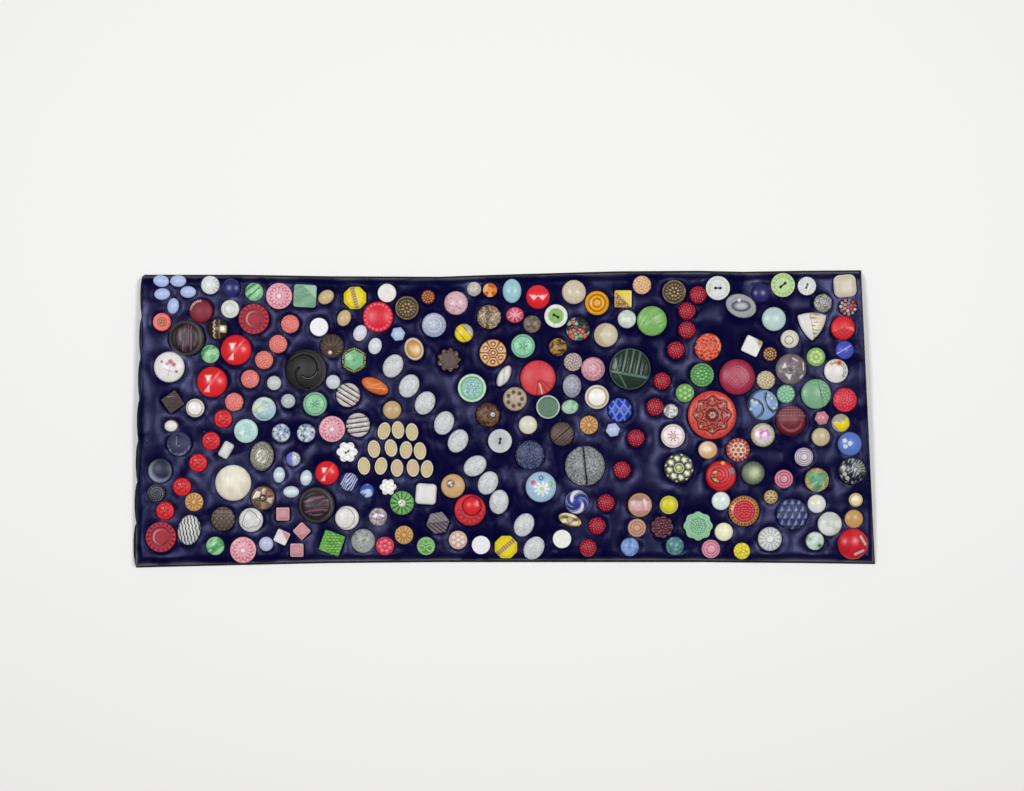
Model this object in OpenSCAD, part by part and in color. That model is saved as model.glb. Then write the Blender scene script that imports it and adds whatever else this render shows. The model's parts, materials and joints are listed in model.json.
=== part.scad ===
// A display card of sewn-on buttons: a wadded pad in navy satin on a black backing cloth, with glass, pearl
// and metal buttons in many forms sewn over the whole of its face.
// Millimetres, +Z up. The origin is the middle of the underside, +X runs along the card.

/* [Card] */
// Length of one step of the layout sheet on which the buttons are set out
layout_step = 0.75; // [0.75:0.01:1.2]
// Thickness of the wadded pad at the seats of the buttons
pad_t = 8; // [5:0.5:14]
// Width of the soft rounding along the edge of the pad
pad_round = 4; // [2:0.5:6]
// Height of the straight edge below that rounding
pad_edge_h = 2.5; // [1:0.5:4]
// Height that the satin swells between the buttons
swell_h = 1.4; // [0.6:0.1:2.5]
// Thickness of the backing cloth
backing_t = 1.5; // [0.8:0.1:3]
// Width of backing that shows round the satin
backing_margin = 1.5; // [0.5:0.1:3]
// Depth of the scallops of backing along the left end
scallop_h = 2.4; // [1:0.1:4]

/* [Button diameters] */
// Tiny buttons
tiny_d = 10.8; // [8:0.1:11.5]
// Small buttons
small_d = 13.8; // [11:0.1:14.2]
// Medium buttons
medium_d = 18; // [15:0.1:18.4]
// Wide buttons
wide_d = 19.5; // [17:0.1:20.5]
// Large buttons
large_d = 23; // [20:0.1:23.6]
// Grand buttons
grand_d = 27; // [24:0.1:28]
// Giant buttons
giant_d = 31; // [28:0.1:32]
// The one openwork medallion
medallion_d = 36; // [32:0.1:37]

/* [Button heights] */
// Straight edge round a moulded button
edge_h = 1.2; // [0.8:0.1:1.6]
// Bevel along the edges of a flat button
bevel = 0.5; // [0.2:0.1:0.8]
// Height of tiny and small domes
low_h = 3.6; // [2.8:0.1:5]
// Height of medium domes
mid_h = 4.6; // [3.6:0.1:6]
// Height of large domes
high_h = 5.6; // [4.4:0.1:7]
// Height of grand and giant domes
giant_h = 7; // [5.5:0.1:9]
// Height of flat discs and plates
flat_h = 2.6; // [2.2:0.1:4]
// Depth of cut lines, wells and grooves
cut_h = 0.6; // [0.3:0.1:1]

/* [Sewing holes] */
// Diameter of a sewing hole
hole_d = 1.8; // [1.2:0.1:2.2]
// Distance between the two holes of a sew-through button
hole_gap = 4.2; // [3:0.1:5]

/* [Hidden] */
$fn = 96;
seat_z = backing_t + pad_t;
sheet_mid = [504, 419];
// How far the layout opens out where a size of button grows, so that neighbours keep clear
spread = max(
    1, tiny_d / 10.8, small_d / 13.8, medium_d / 18, wide_d / 19.5, large_d / 23, grand_d / 27, giant_d / 31,
    medallion_d / 36
);
swell_root = 1;
scallop_count = 7;
bite = 0.4;
petal_gap = 0.3;
facet_flare = 1.3;
past = 1;
round_steps = [0, 30, 60, 90];

// Stations along the card, each with its place on the far edge and on the near edge of the satin
edge_stations = [
    [[142, 276], [134, 566.5]], [[240, 276], [236, 564]], [[330, 277.5], [328, 562]], [[440, 278], [440, 561]],
    [[480, 276.5], [480, 561]], [[530, 275], [531, 561]], [[620, 272.5], [622, 561]], [[700, 272], [704, 561]],
    [[745, 273], [750, 561.5]], [[800, 272], [808, 562]], [[861, 271.5], [875, 563]]
];

// Where the satin swells between the buttons, with the width of each swell in millimetres
swells = [
    [152, 430, 8], [203, 478, 9], [345, 375, 8], [420, 520, 10], [430, 375, 16], [440, 455, 14],
    [445, 395, 14], [470, 420, 9], [560, 480, 7], [585, 350, 11], [605, 445, 12], [620, 525, 11],
    [640, 400, 11], [650, 465, 17], [655, 486, 12], [720, 320, 16], [730, 345, 12], [740, 425, 8],
    [745, 325, 9], [750, 490, 7], [785, 455, 13], [790, 545, 12]
];

// Layout of the buttons, one list to each kind, as [column, row] and, where it matters, a turn in degrees
pale_blue_ovals_at = [
    [161, 281, -10], [178, 281, 0], [162, 294, 5], [188, 292, 0], [173, 306, 80],
    [279, 475, 85], [291, 492, 0], [306, 478, 80]
];
tan_ovals_at = [[326, 297, 35], [344, 318, 65]];
white_ovals_at = [[360, 333, 65], [375, 346, 75]];
crackle_ovals_at = [
    [393, 366, 60], [409, 386, 60], [425, 403, 60], [444, 423, 65], [458, 441, 60],
    [475, 466, 35], [488, 483, 60], [499, 502, 80], [524, 525, 60], [534, 548, 55]
];
cream_ovals_at = [
    [384, 431, 75], [398, 430, 95], [412, 432, 95], [374, 449, 95], [391, 448, 100], [406, 450, 85],
    [420, 451, 95], [364, 466, 95], [381, 466, 80], [397, 468, 90], [413, 468, 95], [427, 469, 85]
];
coral_flowers_at = [[290, 324], [278, 344], [264, 360], [250, 379], [234, 402]];
red_flowers_at = [[223, 419], [211, 441], [198, 463], [182, 487], [165, 511]];
red_beads_at = [
    [698, 295], [687, 311], [687, 330], [676, 350], [662, 381], [655, 407],
    [636, 438], [622, 470], [606, 503], [597, 526], [588, 548]
];
red_facets_large_at = [[236, 350, 20], [212, 382, 20]];
red_facets_medium_at = [[327, 473, 40], [538, 297, 0]];
red_daisies_at = [[254, 319], [161, 537]];
pink_laces_at = [[279, 296], [332, 429], [243, 550]];
white_domes_tiny_at = [[274, 383], [288, 401], [474, 289], [333, 382]];
white_domes_small_at = [
    [230, 309], [319, 327], [387, 293], [627, 319], [481, 545], [562, 539], [721, 501], [724, 532],
    [817, 504], [790, 339], [528, 425]
];
pearl_domes_small_at = [[210, 285], [195, 408]];
pearl_domes_medium_at = [[434, 325], [830, 524], [251, 520], [597, 397]];
cream_domes_at = [[574, 292], [606, 335], [774, 319], [836, 371]];
cream_moon_at = [233, 483];
peach_dome_at = [642, 285];
pink_cubes_at = [[283, 514, 0], [302, 531, 45], [297, 550, 0], [282, 537, 65]];
green_swirls_at = [[254, 292], [210, 354], [215, 546]];
lustre_domes_at = [[264, 409], [246, 431], [763, 435]];
crystals_small_at = [[281, 433], [306, 433]];
crystals_tiny_at = [[671, 411], [770, 354]];
oval_eyes_at = [[187, 338, 70], [317, 505, 20]];
tan_spokes_at = [[194, 502], [404, 535], [589, 425]];
yellow_octagons_at = [[355, 298], [506, 547]];
striped_whites_at = [[348, 395, -35], [358, 425, 5]];
black_spiral_at = [306, 370];
green_fan_at = [630, 369];
split_grey_at = [585, 466];
red_medallion_at = [712, 415];
red_fan_at = [538, 378];
crimson_ring_at = [737, 377];
mauve_turbine_at = [791, 369];
red_knob_at = [470, 510];
mint_plate_at = [472, 388];
scalloped_plate_at = [698, 526];
brass_laces_at = [[407, 308], [674, 292]];
dark_laces_at = [[449, 360], [662, 527]];
green_hexagon_at = [354, 360];
hexagons_at = [[398, 334], [613, 430], [822, 418]];
flat_squares_at = [[305, 296, -3], [752, 346, -25]];
yellow_square_at = [623, 299];
brown_pyramid_at = [173, 402, 35];
white_pillow_at = [426, 494, -4];
cream_pillow_at = [845, 286, 5];
slim_pillow_at = [226, 450, 60];
basket_square_at = [332, 543, -20];
triangle_at = [812, 324];
two_holes_at = [[718, 288, -5], [783, 285, -40]];
rimmed_two_hole_at = [556, 316, -20];
shank_disc_at = [500, 441];
starburst_at = [807, 286];
holed_flower_at = [347, 452];
white_flower_at = [388, 487];
yellow_flower_at = [742, 551];
navy_pyramid_at = [792, 514];
navy_mesh_at = [530, 455];
blue_weave_at = [620, 410];
grey_mesh_at = [156, 493];
crystal_ring_at = [679, 468];
gold_saturn_at = [570, 520, -20];
grey_saturn_at = [741, 306, -20];
carved_greens_large_at = [[652, 321], [816, 394]];
carved_greens_medium_at = [[702, 375], [523, 346], [315, 404], [548, 407], [753, 473]];
carved_greens_small_at = [[426, 546], [786, 394], [816, 357], [685, 393]];
carved_browns_medium_at = [[332, 346], [223, 519], [488, 415], [562, 434]];
carved_browns_small_at = [[558, 347], [532, 324]];
carved_reds_large_at = [[378, 317], [744, 511], [721, 476]];
carved_reds_medium_at = [[845, 400], [738, 450], [201, 311]];
carved_reds_small_at = [[385, 546], [162, 322]];
carved_red_oval_at = [708, 347, 60];
cut_reds_at = [[853, 544, 30], [791, 421, 180]];
cut_red_medium_at = [843, 328, 150];
blue_domes_tiny_at = [[367, 491], [293, 459], [266, 544]];
blue_domes_small_at = [[231, 288], [761, 293], [845, 350], [630, 547], [349, 482]];
blue_domes_medium_at = [[850, 444], [577, 502]];
navy_knob_at = [179, 444];
navy_crescent_at = [160, 471, 10];
yellow_rounds_small_at = [[464, 333], [669, 505], [841, 423]];
amber_round_at = [597, 303];
orange_facet_at = [490, 290];
pink_rounds_at = [[711, 549], [784, 479], [804, 457]];
pink_dome_at = [456, 303];
pink_facet_at = [593, 369];
grains_tiny_at = [[428, 297]];
grains_small_at = [[573, 362], [823, 303], [848, 307], [766, 380], [675, 546]];
grains_medium_at = [[489, 317], [363, 541], [515, 399], [578, 329]];
tan_rounds_tiny_at = [[856, 500], [771, 497]];
tan_rounds_small_at = [[392, 410], [458, 540], [637, 528], [821, 437], [854, 519]];
tan_gem_at = [453, 486];
peach_moon_at = [708, 450];
bronze_bow_at = [263, 498];
banded_dark_at = [218, 329];
copper_square_at = [640, 505];
dark_fold_at = [438, 523, 10];
mauve_shell_at = [378, 517];
orange_oblong_at = [375, 386, -25];
ribbed_oblong_at = [504, 376, 60];
turquoise_oval_at = [512, 291, 90];
grey_facet_oval_at = [572, 386, 90];
green_oval_at = [570, 407, 10];
brass_oval_at = [414, 349, 110];
pearl_oval_at = [171, 426, 0];
cameo_oval_at = [262, 456, 85];
striped_oval_at = [189, 530, 80];
pink_star_oval_at = [515, 315, 0];
painted_large_at = [[169, 367], [541, 487], [763, 405]];
painted_wide_at = [[493, 353], [852, 471]];
painted_medium_at = [[673, 436], [817, 480]];
green_spoke_at = [402, 503];
carved_whites_medium_at = [[347, 518], [770, 539]];
carved_white_small_at = [815, 541];

// Place of a layout step on the card
function spot(p) = layout_step * spread * [p.x - sheet_mid.x, sheet_mid.y - p.y];
function turn_of(p) = len(p) > 2 ? p[2] : 0;
// Radius of the sphere whose cap is d wide and h high
function cap_r(d, h) = (d * d / 4 + h * h) / (2 * h);
// Height at radius r on a cabochon
function cap_z(d, h, r) = h - cap_r(d, h - edge_h) + sqrt(pow(cap_r(d, h - edge_h), 2) - r * r);

// Sets a button on the satin at a place of the layout
module sewn(p) {
    translate([spot(p).x, spot(p).y, seat_z])
        rotate(turn_of(p))
            children();
}

module sewn_all(places) {
    for (p = places)
        sewn(p)
            children();
}

// A spherical cap on a straight edge
module cabochon(d, h, edge = edge_h) {
    r = cap_r(d, h - edge);
    intersection() {
        cylinder(d = d, h = h);
        translate([0, 0, h - r])
            sphere(r);
    }
}

// A turned form, from the radius and height of each corner of its section
module turned(section) {
    rotate_extrude()
        polygon(section);
}

// A flat disc with a bevelled edge
module disc(d, h) {
    turned([[0, 0], [d / 2, 0], [d / 2, h - bevel], [d / 2 - bevel, h], [0, h]]);
}

// A disc with a raised rim round a sunk well
module plate(d, h, rim_w, well_h) {
    turned([
        [0, 0], [d / 2, 0], [d / 2, h - bevel], [d / 2 - bevel, h], [d / 2 - rim_w, h],
        [d / 2 - rim_w - bevel, h - well_h], [0, h - well_h]
    ]);
}

// An oval cabochon, l long and w wide: a barrel that lies along the oval, trimmed to its outline
module oval_cabochon(l, w, h) {
    long_r = cap_r(l, h - edge_h);
    short_r = cap_r(w, h - edge_h);
    intersection() {
        linear_extrude(h)
            scale([1, w / l])
                circle(d = l);
        translate([0, 0, h - short_r])
            rotate([0, 90, 0])
                rotate_extrude()
                    intersection() {
                        translate([short_r - long_r, 0])
                            circle(long_r);
                        translate([0, -l])
                            square([l, 2 * l]);
                    }
    }
}

// A stone with n sides and n facets that rise to a table
module faceted(d, h, n, table) {
    cylinder(d = d, h = edge_h, $fn = n);
    translate([0, 0, edge_h])
        cylinder(d1 = d, d2 = table, h = h - edge_h, $fn = n);
}

// A round stone with n facets that rise to a table
module cut_stone(d, h, n, table) {
    intersection() {
        cylinder(d = d, h = h);
        cylinder(d1 = d * facet_flare, d2 = table, h = h, $fn = n);
    }
}

// A square with rounded corners and a crowned face
module pillow(l, w, h, corner) {
    crown_d = norm([l, w]);
    intersection() {
        linear_extrude(h) {
            square([l, w - 2 * corner], center = true);
            square([l - 2 * corner, w], center = true);
            for (x = [-1, 1], y = [-1, 1])
                translate([x * (l / 2 - corner), y * (w / 2 - corner)])
                    circle(corner);
        }
        cabochon(crown_d, h);
    }
}

// Beads in a ring, with their middles at height z
module bead_ring(n, r, bead_d, z) {
    for (i = [0 : n - 1])
        rotate(i * 360 / n)
            translate([r, 0, z])
                sphere(d = bead_d);
}

// Cutters for n grooves that run outwards, to be taken from a face at height z
module spokes(n, inner, outer, w, z) {
    for (i = [0 : n - 1])
        rotate(i * 360 / n)
            translate([inner, -w / 2, z])
                cube([outer - inner, w, cut_h + past]);
}

// Cutters for n parallel grooves at an even pitch
module stripes(n, pitch, l, w, z) {
    for (i = [0 : n - 1])
        translate([-l / 2, (i - (n - 1) / 2) * pitch - w / 2, z])
            cube([l, w, cut_h + giant_h]);
}

// A cabochon with grooves that run out from its middle
module spoked_dome(d, h, n, inner, outer, w) {
    difference() {
        cabochon(d, h);
        spokes(n, inner, outer, w, cap_z(d, h, (inner + outer) / 2) - cut_h);
    }
}

// Low round petals in a ring, rising from a face at height z
module petal_ring(n, r, petal_d, z) {
    for (i = [0 : n - 1])
        rotate(i * 360 / n)
            translate([r, 0, z - bite])
                cabochon(petal_d, petal_d / 4 + bite, bite);
}

// A disc with a rosette of round petals about a middle boss
module rosette(d, h, n, petal_d) {
    petal_r = d / 2 - bevel - petal_gap - petal_d / 2;
    boss_d = 2 * petal_r - petal_d - 2 * petal_gap;
    disc(d, h);
    petal_ring(n, petal_r, petal_d, h);
    translate([0, 0, h - bite])
        cabochon(boss_d, boss_d / 4 + bite, bite);
}

// A dome with rings cut round it
module ringed_dome(d, h, rings) {
    difference() {
        cabochon(d, h);
        for (r = rings)
            translate([0, 0, cap_z(d, h, r) - cut_h])
                difference() {
                    cylinder(r = r, h = cut_h + past);
                    translate([0, 0, -past])
                        cylinder(r = r - cut_h, h = cut_h + 3 * past);
                }
    }
}

// Two sewing holes through a flat button
module sewing_holes() {
    for (x = [-1, 1])
        translate([x * hole_gap / 2, 0, -past])
            cylinder(d = hole_d, h = giant_h);
}

// The pad: sections of a rounded edge, lofted from station to station along the card
module satin_pad_body() {
    n = len(edge_stations);
    last = len(round_steps) - 1;
    first = edge_stations[0];
    end = edge_stations[n - 1];
    inset = [for (t = round_steps) pad_round * (1 - cos(t))];
    rise = [for (t = round_steps) pad_edge_h + (pad_t - pad_edge_h) * sin(t)];
    columns = concat(
        [for (i = [0 : last]) [spot(first[0]) + [inset[i], 0], spot(first[1]) + [inset[i], 0], rise[i]]],
        [for (i = [1 : n - 2]) [spot(edge_stations[i][0]), spot(edge_stations[i][1]), pad_t]],
        [for (i = [last : -1 : 0]) [spot(end[0]) - [inset[i], 0], spot(end[1]) - [inset[i], 0], rise[i]]]
    );
    rows = concat(
        [for (i = [0 : last]) [0, -inset[i], rise[i]]],
        [for (i = [last : -1 : 0]) [1, inset[i], rise[i]]]
    );
    row_count = len(rows);
    column_count = len(columns);
    top = [
        for (c = columns, r = rows)
            [each (c[r[0]] + [0, r[1]]), backing_t + min(c[2], r[2])]
    ];
    bottom = [for (p = top) [p.x, p.y, backing_t]];
    half = len(top);
    function at(c, r) = c * row_count + r;
    polyhedron(
        points = concat(top, bottom),
        faces = concat(
            [for (c = [0 : column_count - 2], r = [0 : row_count - 2])
                each [
                    [at(c, r), at(c + 1, r), at(c + 1, r + 1)],
                    [at(c, r), at(c + 1, r + 1), at(c, r + 1)],
                    [half + at(c, r), half + at(c + 1, r + 1), half + at(c + 1, r)],
                    [half + at(c, r), half + at(c, r + 1), half + at(c + 1, r + 1)]
                ]],
            [for (c = [0 : column_count - 2])
                each [
                    [at(c, 0), half + at(c, 0), half + at(c + 1, 0), at(c + 1, 0)],
                    [at(c + 1, row_count - 1), half + at(c + 1, row_count - 1),
                        half + at(c, row_count - 1), at(c, row_count - 1)]
                ]],
            [for (r = [0 : row_count - 2])
                each [
                    [at(0, r + 1), half + at(0, r + 1), half + at(0, r), at(0, r)],
                    [at(column_count - 1, r), half + at(column_count - 1, r),
                        half + at(column_count - 1, r + 1), at(column_count - 1, r + 1)]
                ]]
        )
    );
}

// The cloth under the pad, with scallops of it showing at the left end
module backing_cloth() {
    last = len(edge_stations) - 1;
    out = [backing_margin, backing_margin];
    outline = concat(
        [for (i = [0 : last]) spot(edge_stations[i][0]) + [i == last ? out.x : 0, out.y]],
        [for (i = [last : -1 : 0]) spot(edge_stations[i][1]) + [i == last ? out.x : 0, -out.y]]
    );
    far = spot(edge_stations[0][0]);
    near = spot(edge_stations[0][1]);
    scallop_w = norm(far - near) / scallop_count;
    color("black") {
        linear_extrude(backing_t)
            polygon(outline);
        for (i = [0 : scallop_count - 1])
            translate(far + (near - far) * (i + 0.5) / scallop_count)
                linear_extrude(backing_t)
                    scale([2 * scallop_h / scallop_w, 1])
                        circle(d = scallop_w + backing_margin);
    }
}

// The wadded pad under its satin cover, with swells of satin between the buttons
module satin_pad() {
    color("navy") {
        satin_pad_body();
        for (s = swells)
            let (r = cap_r(s[2], swell_h + swell_root))
                translate([spot(s).x, spot(s).y, seat_z - swell_root])
                    intersection() {
                        cylinder(d = s[2], h = swell_root + swell_h);
                        translate([0, 0, swell_root + swell_h - r])
                            sphere(r);
                    }
    }
}

// Small ovals of pale blue glass
module pale_blue_oval_buttons() {
    color("lightsteelblue")
        sewn_all(pale_blue_ovals_at)
            oval_cabochon(12, 8.8, low_h);
}

// Small ovals in tan
module tan_oval_buttons() {
    color("tan")
        sewn_all(tan_ovals_at)
            oval_cabochon(12.6, 10, low_h);
}

// Small ovals in white
module white_oval_buttons() {
    color("white")
        sewn_all(white_ovals_at)
            oval_cabochon(12.6, 10, low_h);
}

// A trail of ovals with a crackled glaze
module crackle_oval_buttons() {
    color("gainsboro")
        sewn_all(crackle_ovals_at)
            oval_cabochon(18.4, 14.4, mid_h);
}

// Ovals with a thin raised lip round a shallow crowned well
module cream_oval_buttons() {
    l = 13.4;
    w = 9.4;
    lip = 0.9;
    color("khaki")
        sewn_all(cream_ovals_at)
            difference() {
                oval_cabochon(l, w, low_h);
                translate([0, 0, edge_h + cut_h])
                    linear_extrude(low_h)
                        difference() {
                            scale([1, (w - lip) / (l - lip)])
                                circle(d = l - lip);
                            scale([1, (w - 2 * lip) / (l - 2 * lip)])
                                circle(d = l - 2 * lip);
                        }
            }
}

// Pressed flowers with a ring of round petals
module coral_flower_buttons() {
    color("coral")
        sewn_all(coral_flowers_at)
            rosette(small_d, flat_h, 8, 3.2);
}

// Pressed flowers with five broad petals
module red_flower_buttons() {
    color("red")
        sewn_all(red_flowers_at)
            rosette(small_d, flat_h, 5, 4.2);
}

// Domes set all over with beads
module red_bead_buttons() {
    d = 13;
    bead_d = 2.4;
    rings = [[2.6, 6], [5, 11]];
    color("crimson")
        sewn_all(red_beads_at) {
            cabochon(d, low_h);
            translate([0, 0, low_h])
                sphere(d = bead_d);
            for (ring = rings)
                bead_ring(ring[1], ring[0], bead_d, cap_z(d, low_h, ring[0]) - bead_d / 8);
        }
}

// Stones cut in large flat facets
module red_facet_buttons() {
    color("red") {
        sewn_all(red_facets_large_at)
            cut_stone(large_d, high_h, 8, 5);
        sewn_all(red_facets_medium_at)
            cut_stone(medium_d, mid_h, 8, 4);
    }
}

// Plates with a beaded rim, a ring of petals and a round middle
module red_daisy_buttons() {
    rim_w = 2.4;
    color("crimson")
        sewn_all(red_daisies_at) {
            plate(large_d, flat_h + 0.6, rim_w, 1);
            bead_ring(18, large_d / 2 - rim_w / 2 - bevel / 2, 1.6, flat_h + 0.6);
            bead_ring(12, 5.6, 2.6, flat_h - 0.4);
            translate([0, 0, flat_h - 1])
                cabochon(7, 3.4);
        }
}

// Discs with an open lacework of round cells
module pink_lace_buttons() {
    color("pink")
        sewn_all(pink_laces_at)
            difference() {
                disc(wide_d, flat_h);
                for (i = [0 : 9])
                    rotate(i * 36) {
                        translate([7.4, 0, flat_h - cut_h])
                            cylinder(d = 2.8, h = past);
                        translate([4, 0, flat_h - cut_h])
                            cylinder(d = 1.6, h = past);
                    }
            }
}

// Plain domes in white
module white_dome_buttons() {
    color("white") {
        sewn_all(white_domes_tiny_at)
            cabochon(tiny_d, low_h);
        sewn_all(white_domes_small_at)
            cabochon(small_d, low_h);
    }
}

// Domes with a pearl lustre and a raised line near the edge
module pearl_dome_buttons() {
    color("whitesmoke") {
        sewn_all(pearl_domes_small_at)
            ringed_dome(small_d, low_h, [5]);
        sewn_all(pearl_domes_medium_at)
            ringed_dome(medium_d, mid_h, [6.5]);
    }
}

// Domes in cream, one of them a broad low moon
module cream_dome_buttons() {
    color("antiquewhite") {
        sewn_all(cream_domes_at)
            cabochon(medium_d, mid_h);
        sewn(cream_moon_at)
            cabochon(grand_d, high_h);
        sewn(peach_dome_at)
            cabochon(small_d, low_h);
    }
}

// Little square blocks with a crowned top
module pink_cube_buttons() {
    color("hotpink")
        sewn_all(pink_cubes_at)
            pillow(10, 10, mid_h, 1.2);
}

// Small domes of swirled green glass
module green_swirl_buttons() {
    color("seagreen")
        sewn_all(green_swirls_at)
            cabochon(small_d, low_h);
}

// Domes with an iridescent lustre
module lustre_dome_buttons() {
    color("lightblue")
        sewn_all(lustre_domes_at)
            cabochon(medium_d, mid_h);
}

// Cut crystals
module crystal_buttons() {
    color("lightcyan") {
        sewn_all(crystals_small_at)
            cut_stone(small_d, mid_h, 10, 5);
        sewn_all(crystals_tiny_at)
            cut_stone(tiny_d, low_h, 8, 4);
    }
}

// Rimmed discs that hold a raised oval
module oval_eye_buttons() {
    color("indigo")
        sewn_all(oval_eyes_at) {
            plate(grand_d, flat_h + 0.6, 1.8, 0.8);
            translate([0, 0, flat_h - bite])
                oval_cabochon(19, 13.5, mid_h);
        }
}

// Domes cut with short notches round their edge
module tan_spoke_buttons() {
    color("peru")
        sewn_all(tan_spokes_at)
            spoked_dome(small_d, low_h, 12, 3, 6, 0.9);
}

// Eight-sided buttons with a stripe let into the crown
module yellow_octagon_buttons() {
    stripe_w = 3.4;
    color("gold")
        sewn_all(yellow_octagons_at)
            rotate(22.5)
                difference() {
                    faceted(medium_d, mid_h, 8, 13.5);
                    rotate(67.5)
                        stripes(1, stripe_w, medium_d, stripe_w, mid_h - cut_h);
                }
}

// Domes with bands cut across them
module striped_white_buttons() {
    color("ivory")
        sewn_all(striped_whites_at)
            difference() {
                cabochon(medium_d, mid_h);
                stripes(2, 6, medium_d, 1.8, mid_h - 2 * cut_h);
            }
}

// A large dome with a groove that winds out from its middle
module black_spiral_button() {
    turns = [[0, 4.2, 0], [-1.4, 7, 180], [1.4, 9.8, 0]];
    color("dimgray")
        sewn(black_spiral_at)
            difference() {
                cabochon(giant_d, giant_h);
                for (t = turns)
                    translate([t[0], 0, cap_z(giant_d, giant_h, t[1])])
                        rotate(t[2])
                            rotate_extrude(angle = 200)
                                translate([t[1], 0])
                                    circle(d = 2);
            }
}

// A large disc with ribs that spread over a cross band
module green_fan_button() {
    rib_l = 17;
    color("darkgreen")
        sewn(green_fan_at) {
            cabochon(giant_d, mid_h);
            translate([-giant_d / 3, -3.5, mid_h - 2])
                cube([giant_d * 2 / 3, 3, 3.2]);
            for (a = [30 : 30 : 150])
                rotate(a)
                    translate([-1, -1, mid_h - 2.6])
                        cube([rib_l - 4, 2, 3.4]);
        }
}

// A large dome split by one deep slot
module split_grey_button() {
    slot_w = 2.2;
    color("gray")
        sewn(split_grey_at)
            difference() {
                cabochon(giant_d - 1, giant_h);
                rotate(100)
                    translate([-giant_d, -slot_w / 2, giant_h - 2.6])
                        cube([2 * giant_d, slot_w, giant_h]);
            }
}

// An openwork medallion: a rim, a ring of round cells and a raised middle
module red_medallion_button() {
    rim_w = 2.2;
    cell_d = 5;
    color("firebrick")
        sewn(red_medallion_at) {
            difference() {
                plate(medallion_d, flat_h + 1, rim_w, 1);
                for (i = [0 : 11])
                    rotate(i * 30)
                        translate([12.2, 0, flat_h - 1])
                            cylinder(d = cell_d, h = giant_h);
            }
            bead_ring(8, 6.4, 4, flat_h);
            translate([0, 0, flat_h - bite])
                cabochon(8, 3.4);
        }
}

// A disc fluted from one edge like a fan
module red_fan_button() {
    color("tomato")
        sewn(red_fan_at)
            difference() {
                cabochon(grand_d - 0.5, high_h);
                translate([0, -3, 0])
                    spokes(22, 2.5, grand_d, 0.8, 3.4);
            }
}

// A stepped button of rings round a dome
module crimson_ring_button() {
    color("mediumvioletred")
        sewn(crimson_ring_at) {
            turned([
                [0, 0], [13.4, 0], [13.4, 1.8], [12.6, 2.6], [10.6, 2.6], [10, 2], [9.4, 3.4], [7.4, 3.8],
                [6.8, 3.2], [6.2, 4.6], [4, 5], [0, 5]
            ]);
            translate([0, 0, 4])
                cabochon(6.4, 2.8);
        }
}

// A button of swept lobes round a sunk middle
module mauve_turbine_button() {
    lobes = 6;
    color("rosybrown")
        sewn(mauve_turbine_at) {
            disc(large_d, flat_h);
            for (i = [0 : lobes - 1])
                rotate(i * 360 / lobes)
                    translate([6.2, 0, flat_h - bite])
                        rotate(55)
                            oval_cabochon(10, 4.6, low_h - 0.6);
        }
}

// A carved plate with an off-centre knob
module red_knob_button() {
    color("firebrick")
        sewn(red_knob_at) {
            difference() {
                disc(large_d + 0.6, flat_h);
                spokes(16, 7.5, 10.6, 1.2, flat_h - cut_h);
            }
            translate([1.6, 2.6, flat_h - bite])
                cabochon(11, mid_h);
        }
}

// Green plates, one with stepped rings and one with a scalloped edge
module green_plate_buttons() {
    color("mediumseagreen") {
        sewn(mint_plate_at)
            turned([
                [0, 0], [10.6, 0], [10.6, 2.6], [10, 3.2], [8.6, 3.2], [8, 2.4], [7.2, 2.4], [6.8, 3],
                [5.6, 3], [5.2, 2.2], [3.4, 2.2], [2.8, 3.4], [0, 3.8]
            ]);
        sewn(scalloped_plate_at) {
            plate(20, flat_h + 0.4, 2, 0.8);
            for (i = [0 : 7])
                rotate(i * 45)
                    translate([7.2, 0, 0])
                        cylinder(d = 7.6, h = flat_h - 1);
            bead_ring(12, 6, 1.8, flat_h - 0.2);
            translate([0, 0, flat_h - 1])
                cabochon(7, 3);
        }
    }
}

// Round buttons with a beaded edge and filigree rings
module lace_buttons() {
    color("darkgoldenrod") {
        sewn_all(brass_laces_at) {
            disc(medium_d, flat_h);
            bead_ring(20, medium_d / 2 - 1.2, 1.8, flat_h - 0.2);
            bead_ring(8, 4.2, 2.6, flat_h - 0.4);
            translate([0, 0, flat_h - bite])
                cabochon(4.4, 2.6);
        }
        sewn_all(dark_laces_at) {
            for (i = [0 : 8])
                rotate(i * 40)
                    translate([6.6, 0, 0])
                        cylinder(d = 4.6, h = flat_h);
            disc(medium_d - 3.6, flat_h + 0.8);
            bead_ring(8, 4.6, 2.6, flat_h + 0.4);
        }
    }
}

// Six-sided buttons
module hexagon_buttons() {
    color("lightsteelblue") {
        sewn(green_hexagon_at)
            rotate(30) {
                cylinder(d = wide_d + 1, h = flat_h, $fn = 6);
                translate([0, 0, flat_h])
                    cylinder(d1 = 14.4, d2 = 12, h = 1.2, $fn = 6);
            }
        sewn_all(hexagons_at)
            rotate(10)
                faceted(tiny_d + 0.4, low_h, 6, 7);
    }
}

// Square buttons, flat, notched or raised to a point
module square_buttons() {
    color("white") {
        sewn_all([flat_squares_at[0]])
            difference() {
                pillow(17, 17, low_h, 2);
                rotate(45)
                    stripes(1, 1, 15, 1, low_h - cut_h);
            }
        sewn_all([flat_squares_at[1]])
            pillow(13, 13, low_h, 1.4);
        sewn(yellow_square_at)
            difference() {
                pillow(13, 13, low_h, 1);
                translate([0, 0, low_h - 2 * cut_h])
                    linear_extrude(low_h)
                        polygon([[-8, 8], [8, 8], [0, 1.4]]);
            }
        sewn(brown_pyramid_at)
            rotate(45)
                faceted(18.6, mid_h, 4, 3);
    }
}

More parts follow.
